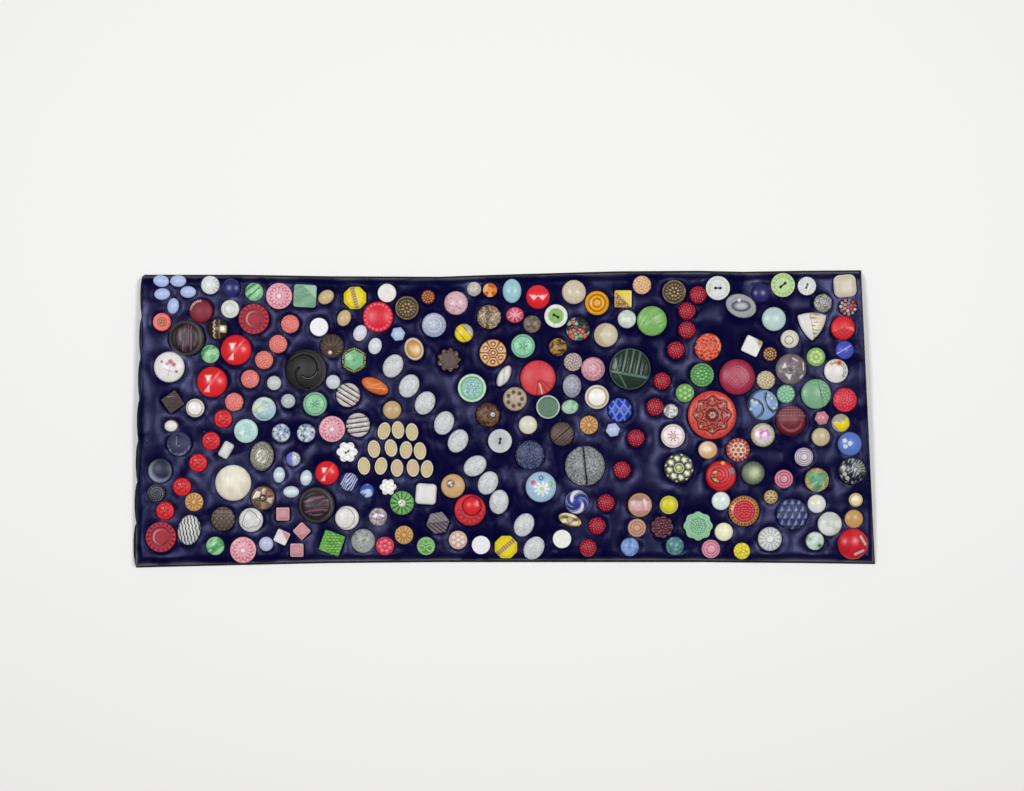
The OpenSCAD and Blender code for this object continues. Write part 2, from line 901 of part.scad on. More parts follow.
// Crowned squares with soft corners
module pillow_buttons() {
    color("linen") {
        sewn(white_pillow_at)
            pillow(15.6, 15.6, mid_h, 3);
        sewn(cream_pillow_at)
            difference() {
                pillow(17, 17, mid_h, 5);
                translate([0, 0, mid_h - cut_h])
                    linear_extrude(mid_h)
                        difference() {
                            square(11.6, center = true);
                            square(10.4, center = true);
                        }
            }
        sewn(slim_pillow_at)
            pillow(12.6, 8.2, low_h, 2);
    }
}

// A square woven in brick courses
module basket_square_button() {
    color("seagreen")
        sewn(basket_square_at)
            difference() {
                pillow(16, 16, mid_h, 1.2);
                stripes(3, 4, 20, 0.7, mid_h - 3 * cut_h);
                for (row = [-1.5 : 1.5])
                    for (x = [-4, 0, 4])
                        translate([x + (abs(row - 0.5) == 1 ? 2 : 0), row * 4 - 2, mid_h - 3 * cut_h])
                            cube([0.7, 4, mid_h]);
            }
}

// A triangle with bowed sides and bands over half of its face
module triangle_button() {
    side_r = 27;
    mid_to_side = 8.5;
    corner_reach = 14.6;
    band_w = 1;
    color("white")
        sewn(triangle_at)
            difference() {
                intersection() {
                    cabochon(2 * corner_reach, mid_h);
                    intersection_for(a = [90 : 120 : 330])
                        rotate(a)
                            translate([mid_to_side - side_r, 0, 0])
                                cylinder(r = side_r, h = mid_h);
                }
                for (x = [1.8, 4.2, 6.6])
                    translate([x - band_w / 2, -corner_reach, mid_h - 2 * cut_h])
                        cube([band_w, 2 * corner_reach, mid_h]);
            }
}

// Flat buttons sewn through two holes, and two with a covered middle
module sew_through_buttons() {
    color("whitesmoke") {
        sewn_all(two_holes_at)
            difference() {
                plate(medium_d, flat_h, 2, 0.8);
                sewing_holes();
            }
        sewn(rimmed_two_hole_at)
            difference() {
                plate(medium_d - 0.6, flat_h + 0.4, 2.8, 1);
                sewing_holes();
            }
        sewn(shank_disc_at) {
            plate(medium_d, flat_h, 1.6, 0.8);
            translate([0, 0, flat_h - 1])
                cabochon(6.4, 3);
        }
        sewn(starburst_at)
            difference() {
                disc(small_d, flat_h);
                spokes(12, 2, 6, 0.6, flat_h - cut_h);
                sewing_holes();
            }
    }
}

// Flower outlines of round petals
module flower_buttons() {
    color("white") {
        sewn(holed_flower_at)
            difference() {
                union() {
                    for (i = [0 : 5])
                        rotate(i * 60)
                            translate([4.8, 0, 0])
                                cabochon(6.2, flat_h);
                    cylinder(d = 10, h = flat_h - bite);
                }
                sewing_holes();
            }
        sewn(white_flower_at) {
            for (i = [0 : 5])
                rotate(i * 60)
                    translate([4, 0, 0])
                        cabochon(5.2, low_h);
            cabochon(8, low_h);
        }
        sewn(yellow_flower_at)
            rosette(12.4, flat_h, 6, 3.2);
    }
}

// A stepped pyramid cut on a round button
module navy_pyramid_button() {
    color("navy")
        sewn(navy_pyramid_at) {
            disc(large_d, flat_h);
            for (step = [0 : 2])
                translate([0, 0, flat_h - bite + step])
                    rotate(45)
                        cylinder(d = 20 - step * 5, h = 1 + bite, $fn = 4);
        }
}

// Domes with a square mesh cut over them
module mesh_buttons() {
    color("midnightblue") {
        sewn(navy_mesh_at)
            mesh_dome(large_d - 0.6, mid_h, 4, 4);
        sewn(blue_weave_at)
            rotate(45)
                mesh_dome(medium_d, mid_h, 3, 4);
        sewn(grey_mesh_at)
            rotate(30)
                mesh_dome(small_d - 0.3, low_h, 3, 3);
    }
}

module mesh_dome(d, h, n, pitch) {
    difference() {
        cabochon(d, h);
        stripes(n, pitch, d, 0.8, h - 3 * cut_h);
        rotate(90)
            stripes(n, pitch, d, 0.8, h - 3 * cut_h);
    }
}

// A black plate with a ring of set crystals about a larger one
module crystal_ring_button() {
    crystals = 8;
    color("olive")
        sewn(crystal_ring_at) {
            plate(large_d - 0.6, flat_h, 1, 0.6);
            for (i = [0 : crystals - 1])
                rotate(i * 360 / crystals)
                    translate([7.2, 0, flat_h - 1])
                        faceted(4.6, 2.6, 8, 2.4);
            translate([0, 0, flat_h - 1])
                faceted(7.6, 3.4, 8, 4);
        }
}

// Ovals with a wide flat brim
module saturn_buttons() {
    color("lightgray") {
        sewn(gold_saturn_at) {
            linear_extrude(flat_h)
                scale([1, 0.52])
                    circle(d = 18);
            translate([0, 0, flat_h - bite])
                cabochon(7, low_h);
        }
        sewn(grey_saturn_at) {
            linear_extrude(flat_h)
                scale([1, 0.74])
                    circle(d = 23.5);
            translate([0, 0, flat_h - bite])
                oval_cabochon(14, 10, low_h);
        }
    }
}

// Green buttons pressed with flowers, stars and wreaths
module carved_green_buttons() {
    color("forestgreen") {
        sewn_all(carved_greens_large_at) {
            plate(large_d - 0.6, flat_h + 0.6, 1.6, 0.8);
            petal_ring(8, large_d * 0.26, large_d * 0.18, flat_h - 0.2);
            translate([0, 0, flat_h - bite])
                cabochon(5.6, 3);
        }
        sewn_all(carved_greens_medium_at)
            spoked_dome(medium_d, mid_h, 10, 3.4, 7.4, 1);
        sewn_all(carved_greens_small_at)
            rosette(small_d, flat_h, 6, 3.8);
    }
}

// Brown buttons with flutes and basket work
module carved_brown_buttons() {
    color("saddlebrown") {
        sewn_all(carved_browns_medium_at)
            spoked_dome(medium_d, mid_h, 14, 2.6, 7.6, 0.8);
        sewn_all(carved_browns_small_at)
            ringed_dome(small_d - 0.4, low_h, [2.8, 5]);
    }
}

// Red buttons with rims, petals and lacework
module carved_red_buttons() {
    color("crimson") {
        sewn_all(carved_reds_large_at) {
            plate(large_d, flat_h + 0.6, 2, 0.8);
            petal_ring(7, large_d * 0.24, large_d * 0.19, flat_h - 0.2);
            translate([0, 0, flat_h - bite])
                cabochon(6, 3);
        }
        sewn_all(carved_reds_medium_at)
            ringed_dome(medium_d, mid_h, [4.4, 7]);
        sewn_all(carved_reds_small_at)
            ringed_dome(small_d, low_h, [3.4]);
        sewn(carved_red_oval_at)
            oval_cabochon(21, 19.6, mid_h);
    }
}

// Red domes with flat slices cut across them
module cut_red_buttons() {
    color("darkred") {
        sewn_all(cut_reds_at)
            sliced_dome(large_d, high_h);
        sewn(cut_red_medium_at)
            sliced_dome(medium_d, mid_h);
    }
}

module sliced_dome(d, h) {
    difference() {
        cabochon(d, h);
        for (a = [0, 90])
            rotate(a)
                translate([d / 5, -d, h - 1])
                    rotate([0, 24, 0])
                        cube([d, 2 * d, h]);
    }
}

// Blue and violet domes
module blue_dome_buttons() {
    color("royalblue") {
        sewn_all(blue_domes_tiny_at)
            cabochon(tiny_d, low_h);
        sewn_all(blue_domes_small_at)
            cabochon(small_d, low_h);
        sewn_all(blue_domes_medium_at)
            cabochon(medium_d, mid_h);
    }
}

// Navy glass, one with a knob and one with a crescent cut
module navy_glass_buttons() {
    color("darkslateblue") {
        sewn(navy_knob_at) {
            cabochon(medium_d + 0.6, mid_h);
            translate([0, 0, mid_h - bite])
                cylinder(d = 3, h = 1.4);
        }
        sewn(navy_crescent_at)
            difference() {
                cabochon(medium_d + 0.6, mid_h);
                translate([0, 0, mid_h - 2 * cut_h])
                    difference() {
                        cylinder(d = 14, h = mid_h);
                        translate([2, 2, -past])
                            cylinder(d = 14, h = mid_h + 2 * past);
                    }
            }
    }
}

// Yellow and amber rounds
module yellow_round_buttons() {
    color("gold") {
        sewn_all(yellow_rounds_small_at)
            ringed_dome(small_d, low_h, [4.6]);
        sewn(amber_round_at)
            ringed_dome(medium_d, mid_h, [3.6, 6.4]);
        sewn(orange_facet_at)
            cut_stone(tiny_d - 0.4, low_h, 8, 5);
    }
}

// Pink rounds with rings
module pink_round_buttons() {
    color("pink") {
        sewn_all(pink_rounds_at)
            ringed_dome(small_d, low_h, [3, 5]);
        sewn(pink_dome_at)
            cabochon(medium_d - 0.3, mid_h);
        sewn(pink_facet_at)
            cut_stone(medium_d - 0.3, mid_h, 10, 7);
    }
}

// Buttons with a grain of small pits over their face
module grain_buttons() {
    color("darkkhaki") {
        sewn_all(grains_tiny_at)
            pitted_dome(tiny_d, low_h, [[2.6, 6]]);
        sewn_all(grains_small_at)
            pitted_dome(small_d, low_h, [[2.4, 6], [4.8, 10]]);
        sewn_all(grains_medium_at)
            pitted_dome(medium_d, mid_h, [[3, 6], [6, 12]]);
    }
}

module pitted_dome(d, h, rings) {
    difference() {
        cabochon(d, h);
        for (ring = rings)
            bead_ring(ring[1], ring[0], 1.6, cap_z(d, h, ring[0]) + 0.2);
    }
}

// Tan and peach rounds
module tan_round_buttons() {
    color("burlywood") {
        sewn_all(tan_rounds_tiny_at)
            ringed_dome(tiny_d - 0.4, low_h, [3.4]);
        sewn_all(tan_rounds_small_at)
            ringed_dome(small_d, low_h, [2.6, 5]);
        sewn(tan_gem_at) {
            cabochon(medium_d, mid_h - 0.6);
            translate([1.6, 1, mid_h - 1])
                faceted(5, 1.8, 8, 3);
        }
        sewn(peach_moon_at)
            oval_cabochon(14.4, 13.4, low_h);
    }
}

// Metal and lustre finishes: a bow, bands, a soft square, a fold and a shell
module metal_lustre_buttons() {
    color("sienna") {
        sewn(bronze_bow_at) {
            disc(medium_d, flat_h);
            for (a = [0, 180])
                rotate(a)
                    translate([4.4, 0, flat_h - bite])
                        oval_cabochon(8, 5.4, 2.4);
            translate([0, 0, flat_h - bite])
                cabochon(3.6, 2.8);
        }
        sewn(banded_dark_at)
            difference() {
                cabochon(16, mid_h);
                stripes(2, 5, medium_d, 1.2, mid_h - 2 * cut_h);
            }
        sewn(copper_square_at)
            ringed_dome(medium_d, mid_h, [6]);
        sewn(dark_fold_at)
            faceted(medium_d, mid_h, 6, 6);
        sewn(mauve_shell_at)
            spoked_dome(small_d, low_h, 7, 1.2, 5.6, 0.8);
    }
}

// Longer ovals, ribbed, rimmed and plain
module oblong_buttons() {
    color("lightgray") {
        sewn(orange_oblong_at)
            oval_cabochon(21.6, 10.8, mid_h);
        sewn(ribbed_oblong_at)
            difference() {
                oval_cabochon(17.6, 8.6, mid_h);
                rotate(90)
                    stripes(4, 3.4, medium_d, 0.8, mid_h - 2 * cut_h);
            }
        sewn(turquoise_oval_at)
            oval_cabochon(18, 14, mid_h);
        sewn(grey_facet_oval_at)
            oval_cabochon(17.4, 13.6, mid_h);
        sewn(green_oval_at)
            oval_cabochon(12.8, 10.8, low_h);
        sewn(brass_oval_at)
            oval_cabochon(17.4, 14.2, mid_h);
        sewn(pearl_oval_at)
            oval_cabochon(10.6, 9.2, low_h);
        sewn(cameo_oval_at) {
            linear_extrude(flat_h)
                scale([1, 0.78])
                    circle(d = 22.6);
            translate([0, 0, flat_h - bite])
                oval_cabochon(17, 12, low_h);
        }
        sewn(striped_oval_at)
            oval_cabochon(22.6, 16.8, mid_h);
        sewn(pink_star_oval_at)
            oval_cabochon(13.4, 11.8, low_h);
    }
}

// Broad buttons with painted faces
module painted_buttons() {
    color("aliceblue") {
        sewn_all(painted_large_at)
            cabochon(large_d, mid_h);
        sewn_all(painted_wide_at)
            cabochon(wide_d + 1.5, mid_h);
        sewn_all(painted_medium_at)
            cabochon(medium_d, mid_h);
    }
}

// A wheel of spokes round a set crystal
module green_spoke_button() {
    color("seagreen")
        sewn(green_spoke_at) {
            spoked_dome(medium_d, mid_h - 0.6, 12, 3.6, 8, 0.9);
            translate([0, 0, mid_h - 1])
                faceted(5.6, 2, 8, 3);
        }
}

// White buttons with pressed lace and dots
module carved_white_buttons() {
    color("white") {
        sewn_all(carved_whites_medium_at)
            spoked_dome(medium_d, mid_h, 12, 4, 7.6, 0.8);
        sewn(carved_white_small_at)
            pitted_dome(small_d, low_h, [[4.4, 9]]);
    }
}

backing_cloth();
satin_pad();
pale_blue_oval_buttons();
tan_oval_buttons();
white_oval_buttons();
crackle_oval_buttons();
cream_oval_buttons();
coral_flower_buttons();
red_flower_buttons();
red_bead_buttons();
red_facet_buttons();
red_daisy_buttons();
pink_lace_buttons();
white_dome_buttons();
pearl_dome_buttons();
cream_dome_buttons();
pink_cube_buttons();
green_swirl_buttons();
lustre_dome_buttons();
crystal_buttons();
oval_eye_buttons();
tan_spoke_buttons();
yellow_octagon_buttons();
striped_white_buttons();
black_spiral_button();
green_fan_button();
split_grey_button();
red_medallion_button();
red_fan_button();
crimson_ring_button();
mauve_turbine_button();
red_knob_button();
green_plate_buttons();
lace_buttons();
hexagon_buttons();
square_buttons();
pillow_buttons();
basket_square_button();
triangle_button();
sew_through_buttons();
flower_buttons();
navy_pyramid_button();
mesh_buttons();
crystal_ring_button();
saturn_buttons();
carved_green_buttons();
carved_brown_buttons();
carved_red_buttons();
cut_red_buttons();
blue_dome_buttons();
navy_glass_buttons();
yellow_round_buttons();
pink_round_buttons();
grain_buttons();
tan_round_buttons();
metal_lustre_buttons();
oblong_buttons();
painted_buttons();
green_spoke_button();
carved_white_buttons();
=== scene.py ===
"""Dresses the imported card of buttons: a wadded satin pad on black cloth, and the buttons sewn to it.

Every button is built on the outline and height of its own CAD solid.
A recipe then carves and paints its face.
"""

from __future__ import annotations

import json
import logging
import math
from collections.abc import Callable, Sequence
from dataclasses import dataclass
from enum import Enum

import bmesh
import bpy
import numpy as np
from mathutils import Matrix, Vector

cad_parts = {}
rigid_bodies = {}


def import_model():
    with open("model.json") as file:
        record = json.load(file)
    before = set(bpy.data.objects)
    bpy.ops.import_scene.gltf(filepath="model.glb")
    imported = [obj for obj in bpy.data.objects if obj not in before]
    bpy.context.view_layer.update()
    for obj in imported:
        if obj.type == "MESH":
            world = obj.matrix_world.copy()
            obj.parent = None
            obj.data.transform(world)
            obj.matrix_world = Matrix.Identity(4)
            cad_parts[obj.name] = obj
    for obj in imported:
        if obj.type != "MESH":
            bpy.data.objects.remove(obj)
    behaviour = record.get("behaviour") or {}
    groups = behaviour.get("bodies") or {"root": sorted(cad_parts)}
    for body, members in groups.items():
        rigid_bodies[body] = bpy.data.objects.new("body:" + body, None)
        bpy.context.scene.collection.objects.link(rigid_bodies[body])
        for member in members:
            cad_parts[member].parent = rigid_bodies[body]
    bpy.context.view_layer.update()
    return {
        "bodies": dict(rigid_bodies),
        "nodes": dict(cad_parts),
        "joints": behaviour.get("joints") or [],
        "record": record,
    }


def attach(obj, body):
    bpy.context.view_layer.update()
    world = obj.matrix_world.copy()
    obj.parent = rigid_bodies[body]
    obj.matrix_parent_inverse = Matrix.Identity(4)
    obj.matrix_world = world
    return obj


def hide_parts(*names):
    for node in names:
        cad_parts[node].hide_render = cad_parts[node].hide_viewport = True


log = logging.getLogger("card_of_buttons")
Array = np.ndarray
Place = tuple[float, float]
TAU = 2 * math.pi
GOLDEN_ANGLE = 2.39996
MM = 1000.0
SEEDS_APART = 100


def linear(code: str) -> Array:
    """Turns an sRGB hex code into linear colour.

    Args:
        code: Six hex digits.

    Returns:
        The three linear channels.
    """
    c = np.array([int(code[i : i + 2], 16) for i in (0, 2, 4)]) / 255
    return np.where(c <= 0.04045, c / 12.92, ((c + 0.055) / 1.055) ** 2.4)


def smooth(low: float, high: float, x: Array) -> Array:
    """A soft step from 0 at low to 1 at high."""
    s = np.clip((x - low) / (high - low), 0, 1)
    return s * s * (3 - 2 * s)


def thin(x: Array, low: float, high: float) -> Array:
    """A line where x passes 0, solid out to low and gone at high."""
    return 1 - smooth(low, high, np.abs(x))


def polar(at: float, angle: float) -> Place:
    """The place at a radius and an angle in radians."""
    return at * math.cos(angle), at * math.sin(angle)


def around(n: int, at: float, start: float = 0) -> list[Place]:
    """Places evenly round a circle, the first at an angle in radians."""
    return [polar(at, k * TAU / n + start) for k in range(n)]


def bulge(far: Array) -> Array:
    """A half ball, where far is 1 at its edge."""
    return np.sqrt(np.clip(1 - far * far, 0, 1))


def eased(n: int) -> Array:
    """Shares from 0 to 1 in n steps that grow shorter toward both ends."""
    step = np.linspace(0, 1, n + 1)
    return 0.75 * step + 0.125 * (1 - np.cos(math.pi * step))


class Noise:
    """Seeded value noise over a plane, which repeats after SIZE units."""

    SIZE = 64

    def __init__(self, seed: int) -> None:
        self.lattice = np.random.default_rng(seed).random((self.SIZE, self.SIZE))

    def __call__(self, x: Array, y: Array) -> Array:
        """Noise from 0 to 1, with features about one unit wide."""
        i, j = np.floor(x).astype(int), np.floor(y).astype(int)
        fx, fy = smooth(0, 1, x - i), smooth(0, 1, y - j)
        i, j, k, m = (n % self.SIZE for n in (i, j, i + 1, j + 1))
        low = self.lattice[i, j] * (1 - fx) + self.lattice[k, j] * fx
        high = self.lattice[i, m] * (1 - fx) + self.lattice[k, m] * fx
        return low * (1 - fy) + high * fy

    def layered(self, x: Array, y: Array, layers: int = 3) -> Array:
        """Several octaves of the noise, still from 0 to 1."""
        total = sum(self(x * 2**n + 7 * n, y * 2**n + 3 * n) / 2**n for n in range(layers))
        return total / (2 - 2 ** (1 - layers))


def connected(count: int, edges: Array) -> Array:
    """Labels the separate islands of a mesh.

    Args:
        count: Number of points.
        edges: Pairs of joined points.

    Returns:
        One label for each point.
    """
    label = np.arange(count)
    while True:
        low = np.minimum(label[edges[:, 0]], label[edges[:, 1]])
        fresh = label.copy()
        np.minimum.at(fresh, edges[:, 0], low)
        np.minimum.at(fresh, edges[:, 1], low)
        fresh = fresh[fresh]
        if np.array_equal(fresh, label):
            return label
        label = fresh


def ray_reach(angles: Array, segments: Array) -> Array:
    """Distance from the origin to the outermost of some segments, in each direction.

    Args:
        angles: Directions in radians.
        segments: Ends of the segments, as (count, 2, 2).

    Returns:
        The distance for each direction.
    """
    ray = np.stack([np.cos(angles), np.sin(angles)], 1)[:, None]
    start, run = segments[None, :, 0], segments[None, :, 1] - segments[None, :, 0]
    bottom = ray[..., 0] * run[..., 1] - ray[..., 1] * run[..., 0]
    bottom = np.where(np.abs(bottom) < 1e-12, 1e-12, bottom)
    far = (start[..., 0] * run[..., 1] - start[..., 1] * run[..., 0]) / bottom
    along = (start[..., 0] * ray[..., 1] - start[..., 1] * ray[..., 0]) / bottom
    hit = (along >= -1e-4) & (along <= 1 + 1e-4) & (far > 0)
    return np.where(hit, far, 0).max(1)


@dataclass(frozen=True)
class Seat:
    """The place, outline and height of one CAD button, in millimetres."""

    x: float
    y: float
    z: float
    height: float
    outline: Array
    size: float

    def reach(self, angles: Array) -> Array:
        """Distance from the middle to the outline in each direction."""
        return ray_reach(angles, self.outline)


class CadNode:
    """Reads the islands of one CAD node."""

    SLACK_MM = 0.01
    DIRECTIONS = 48

    def __init__(self, frame: dict, name: str) -> None:
        mesh = frame["nodes"][name].data
        co = np.zeros(len(mesh.vertices) * 3)
        mesh.vertices.foreach_get("co", co)
        pairs = np.zeros(len(mesh.edges) * 2, int)
        mesh.edges.foreach_get("vertices", pairs)
        welded, index = np.unique(np.round(co.reshape(-1, 3) * MM, 3), axis=0, return_inverse=True)
        self.points = welded
        self.edges = index.ravel()[pairs.reshape(-1, 2)]

    def base_segments(self, chosen: Array) -> Array:
        """Edges of some points that lie on their lowest level."""
        low = chosen & (self.points[:, 2] < self.points[chosen, 2].min() + self.SLACK_MM)
        both = low[self.edges].all(1)
        return self.points[self.edges[both]][:, :, :2]

    def seats(self) -> list[Seat]:
        """The buttons of this node from left to right, and from far to near where they line up."""
        label = connected(len(self.points), self.edges)
        found = []
        for island in np.unique(label):
            chosen = label == island
            p = self.points[chosen]
            base = self.base_segments(chosen)
            flat = base.reshape(-1, 2)
            x, y = (flat.min(0) + flat.max(0)) / 2
            base = base - (x, y)
            size = ray_reach(np.linspace(0, TAU, self.DIRECTIONS, endpoint=False), base).mean()
            found.append(Seat(x, y, p[:, 2].min(), np.ptp(p[:, 2]), base, size))
        return sorted(found, key=lambda s: (round(s.x, 1), -s.y))


class Face:
    """The upper surface of one button on a polar grid, with its relief and its paint.

    Places on the face are given in radii of the button: u to the right and v away from the viewer.
    The share t runs from 0 in the middle to 1 at the outline. Heights are in millimetres.
    """

    SPOKES_PER_MM = 8
    LEAST_SPOKES = 52
    MOST_SPOKES = 128
    LEAST_RINGS = 14
    ROUGHNESS = 0.34
    SHOULDER = 0.14
    HOLE_RADIUS = 0.11
    HOLE_DEPTH = 0.9

    def __init__(self, seat: Seat, seed: int) -> None:
        spokes = int(np.clip(seat.size * self.SPOKES_PER_MM, self.LEAST_SPOKES, self.MOST_SPOKES))
        rings = max(self.LEAST_RINGS, spokes // 3)
        angle = np.linspace(0, TAU, spokes, endpoint=False)
        self.seat = seat
        self.rim = seat.reach(angle)
        self.t = np.repeat(np.linspace(0, 1, rings + 1)[:, None], spokes, 1)
        self.a = np.repeat(angle[None], rings + 1, 0)
        self.x = self.t * self.rim * np.cos(angle)
        self.y = self.t * self.rim * np.sin(angle)
        self.u, self.v = self.x / seat.size, self.y / seat.size
        self.r = np.hypot(self.u, self.v)
        self.h = seat.height
        self.z = np.zeros_like(self.t)
        self.relief = np.zeros_like(self.t)
        self.rgb = np.full((*self.t.shape, 3), 0.8)
        self.metal = np.zeros_like(self.t)
        self.rough = np.full_like(self.t, self.ROUGHNESS)
        self.noise = Noise(seed)
        self.seed = seed

    # Forms

    def dome(self, edge: float = 0.36, power: float = 2.2) -> Face:
        """A crowned face that falls to a share of its height at the edge."""
        self.z = self.h * (edge + (1 - edge) * (1 - self.t**power))
        return self.soften()

    def flat(self, level: float = 0.8) -> Face:
        """A level face."""
        self.z = np.full_like(self.t, self.h * level)
        return self.soften(0.9)

    def plate(self, rim: float = 0.2, depth: float = 0.8, level: float = 0.85) -> Face:
        """A level face sunk inside a raised rim."""
        well = 1 - smooth(1 - rim - 0.08, 1 - rim + 0.02, self.t)
        self.z = self.h * level - depth * well
        self.relief = -depth * well
        return self.soften(0.93)

    def facets(self, n: int, table: float = 0.4, turn: float = 0, edge: float = 0.3) -> Face:
        """Flat facets that rise to a table."""
        step = TAU / n
        nearest = np.abs((self.a - math.radians(turn) + step / 2) % step - step / 2)
        out = np.clip(self.r * np.cos(nearest) - table, 0, None) / (1 - table)
        self.z = self.h * (1 - (1 - edge) * out)
        return self

    def soften(self, start: float = 0.86) -> Face:
        """Rounds the shoulder of the face."""
        self.z = self.z - self.h * self.SHOULDER * np.clip((self.t - start) / (1 - start), 0, 1) ** 2.5
        return self

    # Masks

    def turned(self, turn: float) -> tuple[Array, Array]:
        """Places along and across a direction, in radii."""
        c, s = math.cos(math.radians(turn)), math.sin(math.radians(turn))
        return self.u * c + self.v * s, self.v * c - self.u * s

    def away(self, u: float, v: float) -> Array:
        """Distance from a place."""
        return np.hypot(self.u - u, self.v - v)

    def ring(self, at: float, width: float) -> Array:
        """A ring that follows the outline."""
        return 1 - smooth(width * 0.35, width * 0.65, np.abs(self.t - at))

    def inside(self, at: float, soft: float = 0.05) -> Array:
        """All that lies inside a ring."""
        return 1 - smooth(at - soft, at + soft, self.t)

    def between(self, mask: Array, inner: float, outer: float) -> Array:
        """The part of a mask that lies between two rings."""
        return mask * smooth(inner - 0.05, inner + 0.05, self.t) * self.inside(outer)

    def band(self, at: float, width: float, turn: float = 0, soft: float = 0.5) -> Array:
        """A straight band along a direction."""
        off = np.abs(self.turned(turn)[1] - at)
        return 1 - smooth(width * (0.5 - soft * 0.3), width * (0.5 + soft * 0.3), off)

    def half(self, at: float, turn: float = 0, soft: float = 0.06) -> Array:
        """All that lies beyond a line along a direction."""
        return smooth(at - soft, at + soft, self.turned(turn)[1])

    def spokes(self, n: int, width: float, inner: float = 0, outer: float = 1.1, turn: float = 0) -> Array:
        """Lines that run out from the middle."""
        step = TAU / n
        off = np.abs((self.a - math.radians(turn) + step / 2) % step - step / 2)
        line = 1 - smooth(width * 0.3, width * 0.7, self.r * np.sin(np.minimum(off, 1.5)))
        return self.between(line, inner, outer)

    def spot(self, u: float, v: float, radius: float, soft: float = 0.3) -> Array:
        """A round spot."""
        return 1 - smooth(radius * (1 - soft), radius * (1 + soft), self.away(u, v))

    def spots(self, n: int, at: float, radius: float, turn: float = 0, soft: float = 0.3) -> Array:
        """Round spots in a ring."""
        places = around(n, at, math.radians(turn))
        return np.max([self.spot(u, v, radius, soft) for u, v in places], 0)

    def moon(self, u: float, v: float, radius: float, bite: float = 0.25, soft: float = 0.12) -> Array:
        """A crescent along the edge of a circle, on the side that u and v point to."""
        shift = bite / max(math.hypot(u, v), 1e-6)
        return self.spot(0, 0, radius, soft / 2) * (1 - self.spot(-u * shift, -v * shift, radius, soft))

    def wedge(self, turn: float, width: float, inner: float = 0, outer: float = 1) -> Array:
        """A sector about a direction, of a width in degrees, between two radii."""
        off = np.abs((self.a - math.radians(turn) + math.pi) % TAU - math.pi)
        half = math.radians(width) / 2
        side = 1 - smooth(half * 0.8, half * 1.1, off)
        return self.between(side, inner, outer)

    def stroke(self, points: Sequence[Place], width: float) -> Array:
        """A line drawn through points."""
        far = np.full_like(self.t, 9.0)
        for (u0, v0), (u1, v1) in zip(points, points[1:]):
            du, dv = u1 - u0, v1 - v0
            part = np.clip(((self.u - u0) * du + (self.v - v0) * dv) / (du * du + dv * dv), 0, 1)
            far = np.minimum(far, np.hypot(self.u - u0 - part * du, self.v - v0 - part * dv))
        return 1 - smooth(width * 0.3, width * 0.7, far)

    def patch(self, corners: Sequence[Place], soft: float = 0.04) -> Array:
        """A patch with straight sides and no inward corners."""
        middle = np.mean(corners, 0)
        mask = np.ones_like(self.t)
        for (u0, v0), (u1, v1) in zip(corners, (*corners[1:], corners[0])):
            normal = np.array([v0 - v1, u1 - u0]) / math.hypot(u1 - u0, v1 - v0)
            normal *= np.sign((middle - (u0, v0)) @ normal)
            mask *= smooth(-soft, soft, (self.u - u0) * normal[0] + (self.v - v0) * normal[1])
        return mask

    def clouds(
        self, scale: float, turn: float = 0, stretch: float = 1, low: float = 0.4, high: float = 0.6
    ) -> Array:
        """Patches of noise, drawn out along a direction where stretch is over 1."""
        along, across = self.turned(turn)
        return smooth(low, high, self.noise.layered(along * scale / stretch + 9, across * scale + 9))

    def cells(self, n: int) -> tuple[Array, Array]:
        """A mosaic: how near each place is to a joint, and a number from 0 to 1 for its stone."""
        rng = np.random.default_rng(self.seed + 50)
        radius, angle = np.sqrt((np.arange(n) + 0.5) / n), np.arange(n) * GOLDEN_ANGLE
        p = np.stack([radius * np.cos(angle), radius * np.sin(angle)], 1)
        p = p + rng.normal(0, 0.16 / math.sqrt(n), (n, 2))
        d = np.hypot(self.u[..., None] - p[:, 0], self.v[..., None] - p[:, 1])
        order = np.argsort(d, -1)[..., :2]
        near = np.take_along_axis(d, order, -1)
        gap = (near[..., 1] - near[..., 0]) * math.sqrt(n)
        return 1 - smooth(0.1, 0.45, gap), rng.random(n)[order[..., 0]]

    # Relief

    def lift(self, mask: Array, by: float) -> Face:
        """Raises the face under a mask, or sinks it where by is negative."""
        self.z = self.z + mask * by
        self.relief = self.relief + mask * by
        return self

    def beads(self, rings: Sequence[tuple[int, float]], radius: float, by: float, turn: float = 0) -> Face:
        """Sets round beads in rings, each ring given as a count and a radius."""
        best = np.zeros_like(self.t)
        for n, at in rings:
            for u, v in around(n, at, math.radians(turn) + at):
                best = np.maximum(best, bulge(self.away(u, v) / radius))
        return self.lift(best, by)

    def pebbles(self, n: int, by: float) -> Face:
        """Covers the face with small rounded lumps."""
        return self.lift(1 - self.cells(n)[0], by)

    def ripple(self, scale: float, by: float, turn: float = 0, stretch: float = 1) -> Face:
        """Gives the face an uneven surface."""
        along, across = self.turned(turn)
        return self.lift(self.noise.layered(along * scale / stretch, across * scale) - 0.5, by)

    # Paint

    def tint(self, code: str, rough: float | None = None) -> Face:
        """Colours the whole face."""
        self.rgb[:] = linear(code)
        if rough is not None:
            self.rough[:] = rough
        return self

    def paint(self, mask: Array, code: str, metal: float | None = None, rough: float | None = None) -> Face:
        """Colours the face under a mask."""
        m = np.clip(mask, 0, 1)
        self.rgb = self.rgb * (1 - m[..., None]) + linear(code) * m[..., None]
        if metal is not None:
            self.metal = self.metal * (1 - m) + metal * m
        if rough is not None:
            self.rough = self.rough * (1 - m) + rough * m
        return self

    def press(self, mask: Array, by: float, code: str, strength: float = 1, **surface: float) -> Face:
        """Raises or sinks the face under a mask and colours it there."""
        return self.lift(mask, by).paint(mask * strength, code, **surface)

    def dot(self, u: float, v: float, radius: float, code: str, soft: float = 0.3) -> Face:
        """Colours a round spot."""
        return self.paint(self.spot(u, v, radius, soft), code)

